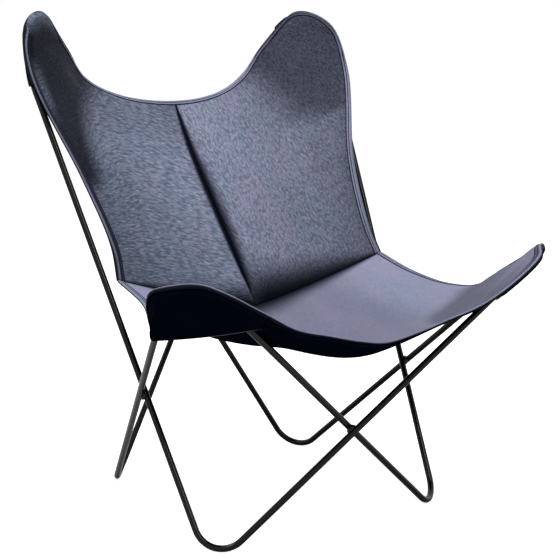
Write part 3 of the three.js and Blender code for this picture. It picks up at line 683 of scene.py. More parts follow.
def nearest_on(path, p):
    """The nearest points on a closed path, for a flat list of points."""
    starts, steps = path, np.roll(path, -1, 0) - path
    lengths = np.maximum((steps**2).sum(1), TINY**2)
    found = []
    for part in np.array_split(p, max(1, len(p) // CHUNK)):
        t = np.clip(((part[:, None] - starts) * steps).sum(-1) / lengths, 0, 1)
        spots = starts + steps * t[..., None]
        best = ((spots - part[:, None]) ** 2).sum(-1).argmin(1)
        found.append(spots[np.arange(len(part)), best])
    return np.concatenate(found)


def rod_tip(loop, name, apex, edge):
    corner = loop[name]
    legs = unit(loop["front_foot"] - corner), unit(loop["rear_foot"] - corner)
    outer, inner = (corner + leg * BACK_BEND_LENGTH for leg in legs)
    across = unit(outer - inner)
    sitter = np.array([0, 0, corner[2]]) - corner

    def face_in(up):
        normal = unit(np.cross(across, up))
        return -normal if normal @ sitter < 0 else normal

    middle = (outer + inner) / 2
    up = unit(apex - middle)
    faces = {"tip_face": face_in(up), "leg_face": face_in(unit(corner - middle))}
    shape = {"path": loop["points"], "edge": edge, "depth": POCKET_DEPTH[name]}
    return {"apex": apex, "up": up, **faces, **shape}


def below(tip, p):
    return dot(tip["apex"] - p, tip["up"])


def off_rod(p, path):
    """Points that would lie inside the rod or against it, moved straight out to its skin."""
    q = nearest_on(path, p)
    away = np.linalg.norm(p - q, axis=-1, keepdims=True)
    return q + (p - q) * np.maximum(away, DRAPE_RADIUS) / np.maximum(away, CLEARANCE)


# %% Drape a sheet
WINDING_BLEND = 0.15


def draped(p, side, tip):
    """Points of a sheet laid on the rod: side is 1 for the sitter's side, -1 for behind.

    q is the nearest place on the rod, lateral and height say how p lies from it, and touch is
    where a straight line from the rim meets the rod's skin. Two answers are worked out: lift, for
    leather that runs straight from the rod to the rim, and wound, for leather that is wound round
    the rod by angle, because the rim lies behind it.
    """
    q = nearest_on(tip["path"], p)
    turn = smooth(below(tip, q) / BACK_BEND_LENGTH - TURN_START_SHARE)
    normal = unit(lerp(tip["tip_face"], tip["leg_face"], turn))
    height = dot(p - q, normal)
    lateral = p - q - normal * height
    spine = tip["apex"] - tip["up"] * np.maximum(below(tip, q), TIP_SPINE_LENGTH)
    outward = q - spine
    outward = outward - normal * dot(outward, normal)
    inside = dot(lateral, outward) < 0
    away = np.linalg.norm(lateral, axis=-1, keepdims=True)
    rim = nearest_on(tip["edge"], p)
    rim_rise = dot(rim - q, normal)
    reach = np.linalg.norm(rim - q - normal * rim_rise, axis=-1, keepdims=True)
    reach = np.maximum(reach, away)
    rim_height = rim_rise + side * LAYER_OFFSET
    span = np.maximum(np.hypot(reach, rim_height), DRAPE_RADIUS)
    angle = np.arctan2(rim_height, reach) + side * np.arccos(DRAPE_RADIUS / span)
    touch = DRAPE_RADIUS * np.cos(angle)
    share = (away - touch) / np.maximum(reach - touch, CLEARANCE)
    on_rod = side * np.sqrt(np.maximum(DRAPE_RADIUS**2 - away**2, 0))
    taut = lerp(DRAPE_RADIUS * np.sin(angle), rim_height, share)
    lift = np.where(inside, side * DRAPE_RADIUS, np.where(away < touch, on_rod, taut))
    wind = lerp(side * math.pi / 2, np.arctan2(rim_height, reach), away / reach)
    radius = lerp(DRAPE_RADIUS, span, smooth(away / reach))
    sideways = lateral / np.maximum(away, CLEARANCE)
    wound = q + (sideways * np.cos(wind) + normal * np.sin(wind)) * radius
    winding = np.where(inside, 0, smooth((touch / reach - 1) / WINDING_BLEND))
    if side < 0:
        return off_rod(lerp(p + normal * (lift - height), wound, winding), tip["path"])
    fade = 1 - smooth((below(tip, p) - tip["depth"]) / tip["depth"])
    fade = fade * (1 - smooth((height - TAUT_RISE) / TAUT_RISE))
    lifted = p + normal * np.maximum(0, lift - height) * fade
    return off_rod(lerp(lifted, wound, winding * fade), tip["path"])


# %% The four tips


def edge_loop(*curves):
    t = np.linspace(0, 1, CURVE_SAMPLES // 4)
    return np.concatenate([curve(t) for curve in curves])


def tips_of(hand):
    back_loop, seat_loop = loops[hand], loops["right" if hand == "left" else "left"]
    seat_apex = nearest_on(seat_loop["points"], seat_loop["front"][None])[0]
    back_rim = edge_loop(back_top, back_side) * FLIP[hand]
    seat_rim = edge_loop(seat_side, seat_front_inwards) * FLIP[hand]
    return {
        "back": rod_tip(back_loop, "back", back_loop["top"], back_rim),
        "seat": rod_tip(seat_loop, "front", seat_apex, seat_rim),
    }


tips = {hand: tips_of(hand) for hand in loops}
print("Tips:", ", ".join(f"{hand} {name}" for hand in tips for name in tips[hand]))


def surface_grid(half, kind, hand, u, v):
    p = half(*np.meshgrid(u, v)) * FLIP[hand]
    return draped(p.reshape(-1, 3), 1, tips[hand][kind]).reshape(p.shape)


# %% [markdown]
# ## From a surface to a piece of leather
# A sheet gets its thickness square to its surface, and thins to nothing over its last
# millimetre and a half, which rounds every cut edge. Grid lines crowd towards the edges for
# that. Each point also remembers its wear together with painted light and shade, and where it
# lies on a flat map of the hide, called lie, because the finish reads its grain there.

# %% Grid lines
EDGE_LINES = np.array([0, 0.0006, 0.002, 0.0045, 0.008])
INNER_START = 0.014


def shares(count):
    inner = np.linspace(INNER_START, 1 - INNER_START, count)
    return np.concatenate([EDGE_LINES, inner, 1 - EDGE_LINES[::-1]])


def from_ends(grid, axis):
    steps = np.linalg.norm(np.diff(grid, axis=axis), axis=-1)
    zero = np.zeros_like(np.take(steps, [0], axis))
    there = np.concatenate([zero, np.cumsum(steps, axis)], axis)
    total = np.take(there, [-1], axis)
    return there, total - there


def grid_normals(grid, towards):
    normal = unit(np.cross(np.gradient(grid, axis=0), np.gradient(grid, axis=1)))
    middle = normal[grid.shape[0] // 2, grid.shape[1] // 2]
    return normal * (1 if middle @ towards > 0 else -1)


# %% Helpers for a sheet
TOWARDS_SITTER = np.array([0, -0.6, 0.8])


def grid_faces(index):
    corners = index[:-1, :-1], index[:-1, 1:], index[1:, 1:], index[1:, :-1]
    return np.stack([corner.ravel() for corner in corners], 1)


def outwards(points, faces):
    a, b, c, d = (points[faces[:, k]] for k in range(4))
    return float((a * np.cross(b, c)).sum() + (a * np.cross(c, d)).sum())


def patch_area(grid):
    p, q = grid[1:, 1:] - grid[:-1, :-1], grid[1:, :-1] - grid[:-1, 1:]
    return np.linalg.norm(np.cross(p, q), axis=-1).sum() / 2


def add_attribute(obj, name, values):
    vector = values.ndim == 2
    attribute = obj.data.attributes.new(name, "FLOAT_VECTOR" if vector else "FLOAT", "POINT")
    attribute.data.foreach_set("vector" if vector else "value", values.astype(np.float32).ravel())


# %% A sheet with its thickness
LIE_TILT = 0.5


def leather_sheet(name, grid, thickness, materials, cad=(), wear=None, lift=0.0):
    rows, columns = grid.shape[:2]
    left, right = from_ends(grid, 1)
    top, bottom = from_ends(grid, 0)
    inside = np.minimum.reduce([left, right, top, bottom])
    radius = thickness / 2
    profile = radius * np.sqrt(1 - (1 - np.clip(inside / radius, 0, 1)) ** 2)
    normal = grid_normals(grid, TOWARDS_SITTER)
    grid = grid + normal * lift
    face = (grid + normal * profile[..., None]).reshape(-1, 3)
    back = (grid - normal * profile[..., None]).reshape(-1, 3)
    index = np.arange(rows * columns).reshape(rows, columns)
    inner = np.zeros((rows, columns), bool)
    inner[1:-1, 1:-1] = True
    under = index.copy()
    under[inner] = rows * columns + np.arange(inner.sum())
    points = np.concatenate([face, back[inner.ravel()]])
    faces = np.concatenate([grid_faces(index), grid_faces(under)[:, [0, 3, 2, 1]]])
    if outwards(points, faces) < 0:
        faces = faces[:, ::-1]
    made = mesh_object(name, points, faces.tolist(), materials, cad)
    half = len(faces) // 2
    made.data.polygons.foreach_set("material_index", [0] * half + [len(materials) - 1] * half)
    lie = np.stack([grid[..., 0], grid[..., 2] - grid[..., 1] * LIE_TILT, 0 * top], -1)
    add_attribute(made, "lie", np.concatenate([lie.reshape(-1, 3), lie[inner]]))
    # wear holds wear together with painted light and shade.
    wear = np.zeros((rows, columns)) if wear is None else wear
    add_attribute(made, "wear", np.concatenate([wear.ravel(), wear[inner]]))
    made["area"] = float(patch_area(grid))
    return made


# %% [markdown]
# ## Leather
# The hide is dyed almost black, with a cold blue cast. Sitting has rubbed the middle of the seat
# and the back to a pale bloom. An attribute called wear on the mesh blends the dye and
# the bloom. It paints light and shade as well as wear: the tips, the folds and the seams are
# painted dark as shade, the seat's sides and the back near its seam are painted lighter as light,
# and pale patches at the tips and on the rim of the band are painted highlights. The grain is a
# fine pebble, with small paler specks painted on it as glints. On the left half of the back it is
# drawn out sideways into streaks, as hide is near the spine: there the flat map that the grain is
# read on is turned and stretched. The flesh side, turned away from the sitter, is a dull black nap
# with hardly any shine, painted darker still under the seat, as shade.

# %% Colours of the leather
DYE = tint(0.0016, 0.0024, 0.006)
BLOOM = tint(0.193, 0.19, 0.272)
COOL_BLOOM = tint(0.145, 0.176, 0.248)
GLINT_SPECK = tint(0.38, 0.41, 0.52)
# The flesh side under the seat is painted darker than on the back, as shade.
SHADED_NAP = tint(0.0003, 0.0009, 0.0026)
BACK_NAP = tint(0.009, 0.011, 0.017)
CUT_EDGE = tint(0.08, 0.084, 0.1)
STREAKS, SLANT = 3.6, math.radians(-13)
# Cells of grain to the metre, from the finest hairs to the broad clouds.
FINE, PEBBLE, SPECKLE, WAVY, PATCH, BROAD = 720, 310, 300, 250, 17, 11

# %% The grain side


def leather_finish(name, streaks=1.0, slant=0.0, grain=1.0, cool=0.5):
    finish = Finish(name)
    lie = finish.node("Attribute", {"attribute_name": "lie"})["Vector"]
    wear = finish.node("Attribute", {"attribute_name": "wear"})["Fac"]
    drawn_out = {"Vector": lie, "Rotation": (0, 0, slant), "Scale": (streaks, streaks**-0.5, 1)}
    stretched = finish.node("Mapping", {"vector_type": "TEXTURE"}, drawn_out)["Vector"]
    cells = {"Vector": stretched, "Scale": PEBBLE, "Smoothness": 0.5}
    pebbles = finish.node("TexVoronoi", {"feature": "SMOOTH_F1"}, cells)["Distance"]
    fine = finish.noise(stretched, FINE, 2, 0.6)
    wavy = finish.noise(stretched, WAVY, 2, 0.65)
    broad = finish.noise(lie, BROAD, 4, 0.55)
    patches = finish.ramp(finish.noise(lie, PATCH, 3, 0.6), (0.38, 0), (0.62, 1))
    bloom = finish.mix(patches * 0.6 + (cool - 0.3), BLOOM, COOL_BLOOM)
    # Blending dye into bloom by wear paints wear, and also painted light and shade.
    worn_and_shaded = finish.mix(wear * (broad * 0.4 + 0.8), DYE, bloom)
    # Paler specks on the worn grain are painted glints, and are made a little glossier too.
    specks = finish.ramp(finish.noise(stretched, SPECKLE, 2, 0.75), (0.5, 0), (0.72, 1))
    pits = finish.ramp(pebbles, (0.3, 0), (0.7, 1))
    colour = finish.mix(pits * 0.55 * grain, worn_and_shaded, DYE)
    colour = finish.mix(specks * wear * 0.5 * grain, colour, GLINT_SPECK)
    height = (1 - pebbles) * 0.4 + wavy + fine * 0.2
    return finish.surface(
        Base_Color=colour,
        Roughness=0.52 - specks * 0.12 + broad * 0.1,
        Normal=finish.bump(height, min(1, 1.1 * grain), 1.3 * MM),
        Specular_IOR_Level=0.035,
    )


# %% The flesh side
NAP_FIBRES, NAP_CLOUDS, NAP_LIFT = 900, 18, 2.2


def nap_finish(name, colour):
    finish = Finish(name)
    place = finish.node("TexCoord")["Object"]
    fibres = finish.noise(place, NAP_FIBRES, 3, 0.7)
    cloud = finish.noise(place, NAP_CLOUDS, 4, 0.6)
    return finish.surface(
        Base_Color=finish.mix(cloud, colour, tint(*(NAP_LIFT * c for c in colour[:3]))),
        Roughness=0.8 + fibres * 0.15,
        Normal=finish.bump(fibres, 0.5, 0.5 * MM),
        Specular_IOR_Level=0.0,
    )


# %% The leathers of this sling
pebbled = leather_finish("pebbled_leather", grain=0.8)
streaked = leather_finish("streaked_leather", STREAKS, SLANT, grain=0.85, cool=0.85)
smooth_leather = leather_finish("smooth_leather", grain=0.16, cool=0.25)
shaded_nap = nap_finish("leather_nap_painted_shade", SHADED_NAP)
back_nap = nap_finish("back_leather_nap", BACK_NAP)
band_leather = leather_finish("edge_band_leather", grain=0.2)
cut_edge = nap_finish("cut_leather_edge", CUT_EDGE)
print("Leathers:", pebbled.name, streaked.name, smooth_leather.name, band_leather.name)

# %% [markdown]
# ## Where the leather is worn, and where light and shade are painted
# The level is highest along the centre seam and falls towards the side edges, partly as wear
# from sitting and partly as painted light. Beyond the fold that runs across each upper corner
# the leather is painted dark as shade, apart from the places where the rod presses from behind,
# which get a pale patch that is partly rubbing and partly painted highlight. At a seam the leather
# turns in, and its last centimetres are painted dark as shade in the crease. All of this is worked
# out once for each point of the mesh and kept as an attribute, so it stays put in every view.

# %% Where the rod rubs, with a painted highlight
ROD_RUB_REACH, TIP_RUB_REACH, MOUTH_RUB_REACH = 34 * MM, 45 * MM, 75 * MM


def bell(t):
    return 1 - smooth(np.abs(t))


def tip_fade(grid, apex, dark, fade):
    return smooth((np.linalg.norm(grid - apex, axis=-1) - dark) / fade)


def rod_rub_and_highlight(grid, tip):
    """Where the rod presses, with a painted highlight: most at the very tip and at the pocket's
    mouth.
    """
    p = grid.reshape(-1, 3)
    near = bell(np.linalg.norm(p - nearest_on(tip["path"], p), axis=-1) / ROD_RUB_REACH)
    down = below(tip, p)[:, 0]
    places = bell(down / TIP_RUB_REACH), bell((down - tip["depth"]) / MOUTH_RUB_REACH)
    return (near * np.maximum(*places)).reshape(grid.shape[:2])


# %% Wear, painted light and painted shade of the back
# Beyond these fold lines the upper corners of the back are painted dark as shade, darker on the
# left half.
FOLD_LINES = {
    "left": ((0.45, 0.0), (0.50, 0.13), (0.62, 0.30), (0.75, 0.48), (0.84, 0.63), (1.0, 0.72)),
    "right": ((0.48, 0.0), (0.50, 0.15), (0.60, 0.33), (0.70, 0.37), (0.80, 0.42), (1.0, 0.45)),
}
FOLD_SOFT = {"left": 0.16, "right": 0.3}
FOLD_SHADE = {"left": 0.05, "right": 0.21}
# Lighter at the seam and darker towards the side edges, partly wear and partly painted light; the
# top of the left half is painted darker as shade.
TOP_SHADE, TOP_SHADE_SHARE = {"left": 0.66, "right": 1.0}, 0.42
SEAM_WEAR_AND_LIGHT, SIDE_WEAR_AND_LIGHT = 1.0, 0.5
# The pale patches where the rod presses are partly rubbing and partly painted highlight, strongest
# on the left tip.
ROD_RUB_AND_HIGHLIGHT = {"left": 0.62, "right": 0.14}
# How far the painted shade above the lumbar seam reaches, tallest at the middle.
LUMBAR_SHADE, LUMBAR_SHADE_POWER = {"left": 42 * MM, "right": 128 * MM}, 1.15
# Beside the centre seam the leather is painted dark as shade in the groove, widest on the right
# half.
CENTRE_SHADE = {"left": (22 * MM, 10 * MM), "right": (3.5 * MM, 14 * MM)}
CREASE_DROP, CREASE_FULLNESS = 1.3, 0.6
CREASE_END_SHARE = 0.12
CREASE_LEAST, GROOVE_LEAST = 3 * MM, 1 * MM


def back_wear_and_shade(grid, hand, u, v):
    u, v = np.meshgrid(u, v)
    fold_u, fold_v = zip(*FOLD_LINES[hand])
    beyond = u - np.interp(v, fold_v, fold_u)
    folded = smooth(beyond / FOLD_SOFT[hand] + 0.5)
    beyond_fold = FOLD_SHADE[hand] + ROD_RUB_AND_HIGHLIGHT[hand] * rod_rub_and_highlight(grid, tips[hand]["back"])
    flat = lerp(SEAM_WEAR_AND_LIGHT, SIDE_WEAR_AND_LIGHT, u) * lerp(TOP_SHADE[hand], 1, smooth(v / TOP_SHADE_SHARE))
    wear = lerp(flat, beyond_fold, folded)
    # Painted shade along the lumbar seam, where the back turns under.
    to_lumbar = (1 - v) * np.linalg.norm(back_chord)
    lumbar_shade_reach = LUMBAR_SHADE[hand] * (1 - u) ** LUMBAR_SHADE_POWER + CREASE_LEAST
    wear = wear * smooth(to_lumbar / lumbar_shade_reach)
    # Painted shade in the centre groove.
    core, soft = CENTRE_SHADE[hand]
    open_groove = np.sin(math.pi * v**CREASE_DROP) ** CREASE_FULLNESS
    open_groove = open_groove * smooth((1 - v) / CREASE_END_SHARE)
    from_seam = np.abs(grid[..., 0]) - core * open_groove
    return wear * smooth(from_seam / (soft * open_groove + GROOVE_LEAST))


# %% [markdown]
# ## The back
# Two halves, sewn together down the middle. The seam lies in a groove because each half swells
# a little on its own side of it.

# %% Back panels
LINES_ACROSS, BACK_LINES_DOWN = 110, 150

backs = {}
across, down = shares(LINES_ACROSS), shares(BACK_LINES_DOWN)
for hand, finish in (("right", pebbled), ("left", streaked)):
    grid = surface_grid(back_half, "back", hand, across, down)
    wear = back_wear_and_shade(grid, hand, across, down)
    backs[hand] = leather_sheet(
        "back_leather_" + hand, grid, LEATHER, [finish, back_nap], ["back_panel_" + hand], wear
    )
    print(f"Back {hand}: {backs[hand]['area']:.3f} m2")


# %% [markdown]
# ## The seat
# One piece of leather from one front tip to the other. It is made as two half grids that share
# their middle line.

# %% Wear, painted light and painted shade of the seat
# Beyond this line the front corners of the seat are painted dark as shade, a little lighter near
# the tip.
SEAT_FOLD_LINE = ((0.28, 1.0), (0.38, 0.75), (0.50, 0.63), (0.66, 0.57), (0.82, 0.55), (1.0, 0.56))
SEAT_FOLD_SOFT = 0.1
# The seat is painted lighter towards its sides than in the middle, as light falls.
SEAT_MIDDLE_LIGHT, SEAT_SIDE_LIGHT = 0.70, 1.0
SEAT_SIDE_START, SEAT_SIDE_FADE = 0.42, 0.38
SEAT_FOLD_SHADE, SEAT_TIP_SHADE = 0.40, 0.66
SEAT_TIP_REACH, SEAT_TIP_FADE = 40 * MM, 110 * MM
# Painted shade on the seat along the lumbar seam, tallest at the middle.
SEAT_CREASE_SHADE = 78 * MM


def seat_wear_and_shade_of(grid, hand, u, v):
    u, v = np.meshgrid(u, v)
    to_side = smooth((u - SEAT_SIDE_START) / SEAT_SIDE_FADE)
    flat = lerp(SEAT_MIDDLE_LIGHT, SEAT_SIDE_LIGHT, to_side)
    fold_u, fold_v = zip(*SEAT_FOLD_LINE)
    folded = smooth((v - np.interp(u, fold_u, fold_v)) / SEAT_FOLD_SOFT + 0.5)
    from_tip = tip_fade(grid, tips[hand]["seat"]["apex"], SEAT_TIP_REACH, SEAT_TIP_FADE)
    wear = lerp(flat, lerp(SEAT_TIP_SHADE, SEAT_FOLD_SHADE, from_tip), folded)
    from_lumbar, _ = from_ends(grid, 0)
    return wear * smooth(from_lumbar / (SEAT_CREASE_SHADE * (1 - u) + CREASE_LEAST))


# %% Seat panel
SEAT_FIRST_LINE, SEAT_LINES_DOWN = 0.01, 130

across = np.linspace(SEAT_FIRST_LINE, 1 - INNER_START, LINES_ACROSS)
across = np.concatenate([[0], across, 1 - EDGE_LINES[::-1]])
down = shares(SEAT_LINES_DOWN)
halves = {hand: surface_grid(seat_half, "seat", hand, across, down) for hand in loops}
wears_and_shades = {hand: seat_wear_and_shade_of(half, hand, across, down) for hand, half in halves.items()}
join = (halves["left"][:, :1] + halves["right"][:, :1]) / 2
seat_grid = np.concatenate([halves["left"][:, :0:-1], join, halves["right"][:, 1:]], 1)
seat_wear_and_shade = np.concatenate([wears_and_shades["left"][:, :0:-1], wears_and_shades["right"]], 1)
seat = leather_sheet(
    "seat_leather", seat_grid, LEATHER, [smooth_leather, shaded_nap], ["seat_panel"], seat_wear_and_shade
)
print(f"Seat: {seat['area']:.3f} m2")

# %% [markdown]
# ## Corner pockets
# Behind each corner a second piece of leather is sewn along the edge. It follows the outer side
# of the rod, and its straight mouth is open, so that the sling can be pulled off the frame.

# %% Pockets
POCKET_LINES = 60
MOUTH_EDGE_LINES = len(EDGE_LINES)


def rim_places(kind):
    if kind == "back":
        top = np.linspace(BACK_MOUTH["across"], 1, POCKET_LINES)
        side = np.linspace(0, BACK_MOUTH["down"], POCKET_LINES)[1:]
        return [(t, 0) for t in top] + [(1, t) for t in side]
    side = np.linspace(SEAT_MOUTH["down"], 1, POCKET_LINES)
    front = np.linspace(1, SEAT_MOUTH["across"], POCKET_LINES)[1:]
    return [(1, t) for t in side] + [(t, 1) for t in front]


def pocket_grid(half, kind, hand):
    places = np.array(rim_places(kind))
    rim = half(places[:, 0], places[:, 1]) * FLIP[hand]
    mouth = rim[-1] - rim[0]
    inner = rim[1:-1]
    share = dot(inner - rim[0], mouth) / (mouth @ mouth)
    share = np.clip(share, POCKET_END_SHARE, 1 - POCKET_END_SHARE)
    tip = tips[hand][kind]
    end = rim[0] + mouth * share - tip["up"] * MOUTH_BOW_DEPTH * np.sin(math.pi * share)
    down = shares(POCKET_LINES)[:, None, None]
    grid = lerp(inner, end, down)
    return draped(grid.reshape(-1, 3), -1, tip).reshape(grid.shape)


# %% Make the four pockets
pockets = {}
for kind, half in (("back", back_flat), ("seat", seat_half)):
    for hand in ("right", "left"):
        name = f"{kind}_pocket_{hand}"
        grid = pocket_grid(half, kind, hand)
        finishes = [back_nap if kind == "back" else shaded_nap, cut_edge]
        piece = leather_sheet(f"{kind}_pocket_leather_{hand}", grid, LEATHER, finishes, [name])
        per_side = len(piece.data.polygons) // 2
        mouth_start = per_side - MOUTH_EDGE_LINES * (grid.shape[1] - 1)
        at_mouth = np.arange(2 * per_side) % per_side >= mouth_start
        piece.data.polygons.foreach_set("material_index", at_mouth.astype(int))
        pockets[name] = piece
print("Pockets:", ", ".join(f"{p['area']:.3f} m2" for p in pockets.values()))

# %% [markdown]
# ## The edge band
# A strip of thinner leather is folded round the whole edge and sewn through with two rows of
# stitches. Modelled flat it would look like a printed line, so it is a closed tube whose section
# hugs the leather under it: at each place along the edge the nearest leather is looked up on
# both sides, and the band lies on that, over the pocket too where there is one.

# %% Places along a band
BAND_WIDTH, BAND_THICKNESS, BAND_ROUND = 13 * MM, 1.1 * MM, 2.2 * MM
BAND_STEP, BAND_REACH = 3 * MM, 9 * MM
ROUND_STEPS = 10
# Across the band, from its cut edge towards the rim: reach and height as shares, and the level of
# wear and shade, whose low values paint the cut edge and the grooves between the pale strips dark
# as shade.
BAND_SECTION = np.array([
    (1.0, -0.4, 0), (0.995, 0.45, 0), (0.97, 0.85, 0.03), (0.93, 0.9, 0.15),
    (0.90, 0.75, 0.04), (0.84, 0.75, 0.04), (0.80, 1.0, 1), (0.58, 1.0, 1), (0.54, 0.75, 0.04),
    (0.46, 0.75, 0.04), (0.42, 1.0, 1), (0.22, 1.0, 1),
])


def surface_tree(objects):
    points, faces = [], []
    for obj in objects:
        first = len(points)
        points += [v.co for v in obj.data.vertices]
        faces += [[first + i for i in polygon.vertices] for polygon in obj.data.polygons]
    return BVHTree.FromPolygons(points, faces)


def rim_stations(parts):
    """Places every few millimetres along an edge, from left to right: the left half mirrored."""
    spots, ways = [], []
    for curve, middle, start, end in parts:
        t = np.linspace(start, end, CURVE_SAMPLES)
        length = np.linalg.norm(np.diff(curve(t), axis=0), axis=1).sum()
        t = np.linspace(start, end, int(length / BAND_STEP))
        _, inward = inward_of(curve, t, middle)
        spots.append(curve(t))
        ways.append(inward)
    spots, ways = np.concatenate(spots), np.concatenate(ways)
    spots = np.concatenate([(spots * MIRROR)[:0:-1], spots])
    ways = np.concatenate([(ways * MIRROR)[:0:-1], ways])
    along = unit(np.gradient(spots, axis=0))
    ways = unit(ways - along * dot(ways, along))
    thick = unit(np.cross(along, ways))
    facing = np.sign(thick[len(thick) // 2] @ TOWARDS_SITTER)
    return spots, ways, thick * facing


# %% The section of a band


def on_leather(tree, point, way):
    found, normal, _, _ = tree.find_nearest(Vector(point + STAND + way * BAND_REACH))
    normal = np.array(normal)
    return np.array(found) - STAND, normal * (1 if normal @ way > 0 else -1)


def band_section(tree, spot, inward, thick):
    sides = []
    for way in (thick, -thick):
        edge = []
        for reach, height, _ in BAND_SECTION:
            found, normal = on_leather(tree, spot + inward * reach * BAND_WIDTH, way)
            edge.append(found + normal * height * BAND_THICKNESS)
        last, normal = on_leather(tree, spot + inward * BAND_ROUND, way)
        sides.append((edge, last + normal * BAND_THICKNESS))
    (upper, top), (lower, bottom) = sides
    middle, half = (top + bottom) / 2, (top - bottom) / 2
    tip = spot - middle
    turn = np.linspace(0, math.pi, ROUND_STEPS + 1)[:, None]
    nose = middle + half * np.cos(turn) + tip * np.sin(turn)
    return np.concatenate([upper, nose, lower[::-1]])


def smooth_rings(rings, passes=3):
    for _ in range(passes):
        rings[1:-1] = (rings[:-2] + 2 * rings[1:-1] + rings[2:]) / 4
    return rings


# %% Wear, painted shade and painted highlight of a band
BAND_WEAR, BAND_TIP_SHADE = 0.9, 0.35
# The rim's rounded nose is painted pale as a highlight, dark near the back's tips.
RIM_HIGHLIGHT, RIM_TIP_HIGHLIGHT = 0.9, {"back": 0.02, "seat": 1.0}
RIM_DEPTH = 1.9 * MM
BAND_TIP_DARK, BAND_TIP_FADE = 40 * MM, 150 * MM
RIM_TIP_DARK, RIM_TIP_FADE = 95 * MM, 50 * MM
# On the left and the right side of the chair, the level of the pale strips, painted darker as
# shade on the back's left side, and of the rim's painted highlight.
SIDE_STRIPS = {"back": (0.1, 1), "seat": (0.8, 1)}
SIDE_RIM = {"back": (0.62, 0.8), "seat": (1, 1)}
SIDE_BLEND = 12


def band_wear_light_and_shade(kind, rings, spots, thick, apexes):
    left_tip, right_tip = sorted(np.linalg.norm(spots - apex, axis=1).argmin() for apex in apexes)
    ring = np.arange(len(rings))[:, None]
    sides_at = smooth((left_tip - ring) / SIDE_BLEND), smooth((ring - right_tip) / SIDE_BLEND)
    from_tip = np.min([tip_fade(rings, a, BAND_TIP_DARK, BAND_TIP_FADE) for a in apexes], 0)
    # The strips are painted dark as shade near the tips.
    strips = lerp(BAND_TIP_SHADE, BAND_WEAR, from_tip)
    from_tip = np.min([tip_fade(rings, a, RIM_TIP_DARK, RIM_TIP_FADE) for a in apexes], 0)
    rim = lerp(RIM_TIP_HIGHLIGHT[kind], RIM_HIGHLIGHT, from_tip)
    for share, strip_wear, rim_wear in zip(sides_at, SIDE_STRIPS[kind], SIDE_RIM[kind]):
        strips = strips * lerp(1, strip_wear, share)
        rim = lerp(rim, rim_wear, share)
    first = len(BAND_SECTION)
    depth = ((rings[:, first : first + 1] - rings) * thick[:, None]).sum(-1)
    # Painted highlight on the rim's nose, fading below its top.
    wear = rim * (1 - smooth(depth / RIM_DEPTH - 0.5))
    wear[:, :first] = strips[:, :first] * BAND_SECTION[:, 2]
    return wear


# %% Make the two bands


def edge_band(kind, parts, objects):
    apexes = [tips[hand][kind]["apex"] for hand in tips]
    tree = surface_tree(objects)
    spots, ways, thick = rim_stations(parts)
    rings = np.array([band_section(tree, *place) for place in zip(spots, ways, thick)])
    rings = smooth_rings(rings)
    count, sides = rings.shape[:2]
    faces = ring_faces(count, sides)
    points, cad = rings.reshape(-1, 3), [kind + "_edge_binding"]
    finishes = [band_leather, shaded_nap]
    made = mesh_object(kind + "_edge_band", points, faces, finishes, cad)
    sitter_sides = len(BAND_SECTION) + ROUND_STEPS // 2 + 2
    side = np.arange(len(faces)) % sides
    behind_rim = (side >= sitter_sides) & (np.arange(len(faces)) < (count - 1) * sides)
    made.data.polygons.foreach_set("material_index", behind_rim.astype(int))
    there = np.linspace(0, count * BAND_STEP, count)[:, None]
    round_about = np.linspace(0, 2 * BAND_WIDTH, sides)[None]
    lie = np.stack(np.broadcast_arrays(there, round_about, 0 * there), -1)
    add_attribute(made, "lie", lie.reshape(-1, 3))
    wear = band_wear_light_and_shade(kind, rings, spots, thick, apexes)
    add_attribute(made, "wear", wear.ravel())
    return made, rings, thick


back_parts = [(back_top, back_centre, 0, 1), (back_side, back_centre, 0, 1)]
seat_parts = [(seat_front, seat_centre, 0, 1), (seat_side, seat_centre, 1, 0)]
back_skin = [*backs.values(), pockets["back_pocket_right"], pockets["back_pocket_left"]]
seat_skin = [seat, pockets["seat_pocket_right"], pockets["seat_pocket_left"]]
bands = {
    "back": edge_band("back", back_parts, back_skin),
    "seat": edge_band("seat", seat_parts, seat_skin),
}
for kind, (band, rings, _) in bands.items():
    print(f"The {kind} band has {len(rings)} rings of {rings.shape[1]} points")


# %% [markdown]
# ## Stitches
# Each row of thread is a line of short stitches that dip into the leather at both ends. They are
# real small bodies, because a row of dots in a bump map fades at the edge of the band.

# %% Thread
THREAD, THREAD_LIGHT = tint(0.001, 0.001, 0.003), tint(0.006, 0.007, 0.012)
THREAD_TWIST = 2500


def thread_finish():
    finish = Finish("waxed_thread")
    place = finish.node("TexCoord")["Object"]
    twist = finish.noise(place, THREAD_TWIST, 1)
    return finish.surface(
        Base_Color=finish.mix(twist, THREAD, THREAD_LIGHT),
        Roughness=0.5 + twist * 0.2,
        Specular_IOR_Level=0.03,
    )


thread = thread_finish()
print("Thread:", thread.name)

# %% A row of stitches
STITCH_PITCH, STITCH_LENGTH, STITCH_RADIUS = 5 * MM, 3.7 * MM, 0.55 * MM
STITCH_SIDES, STITCH_NEAR = 5, 1 * MM
# From one end of a stitch to the other: reach along it, width and height.
STITCH_SHAPE = [(-0.5, 0.3, -0.9), (-0.28, 0.9, 0.1), (0.28, 0.9, 0.1), (0.5, 0.3, -0.9)]


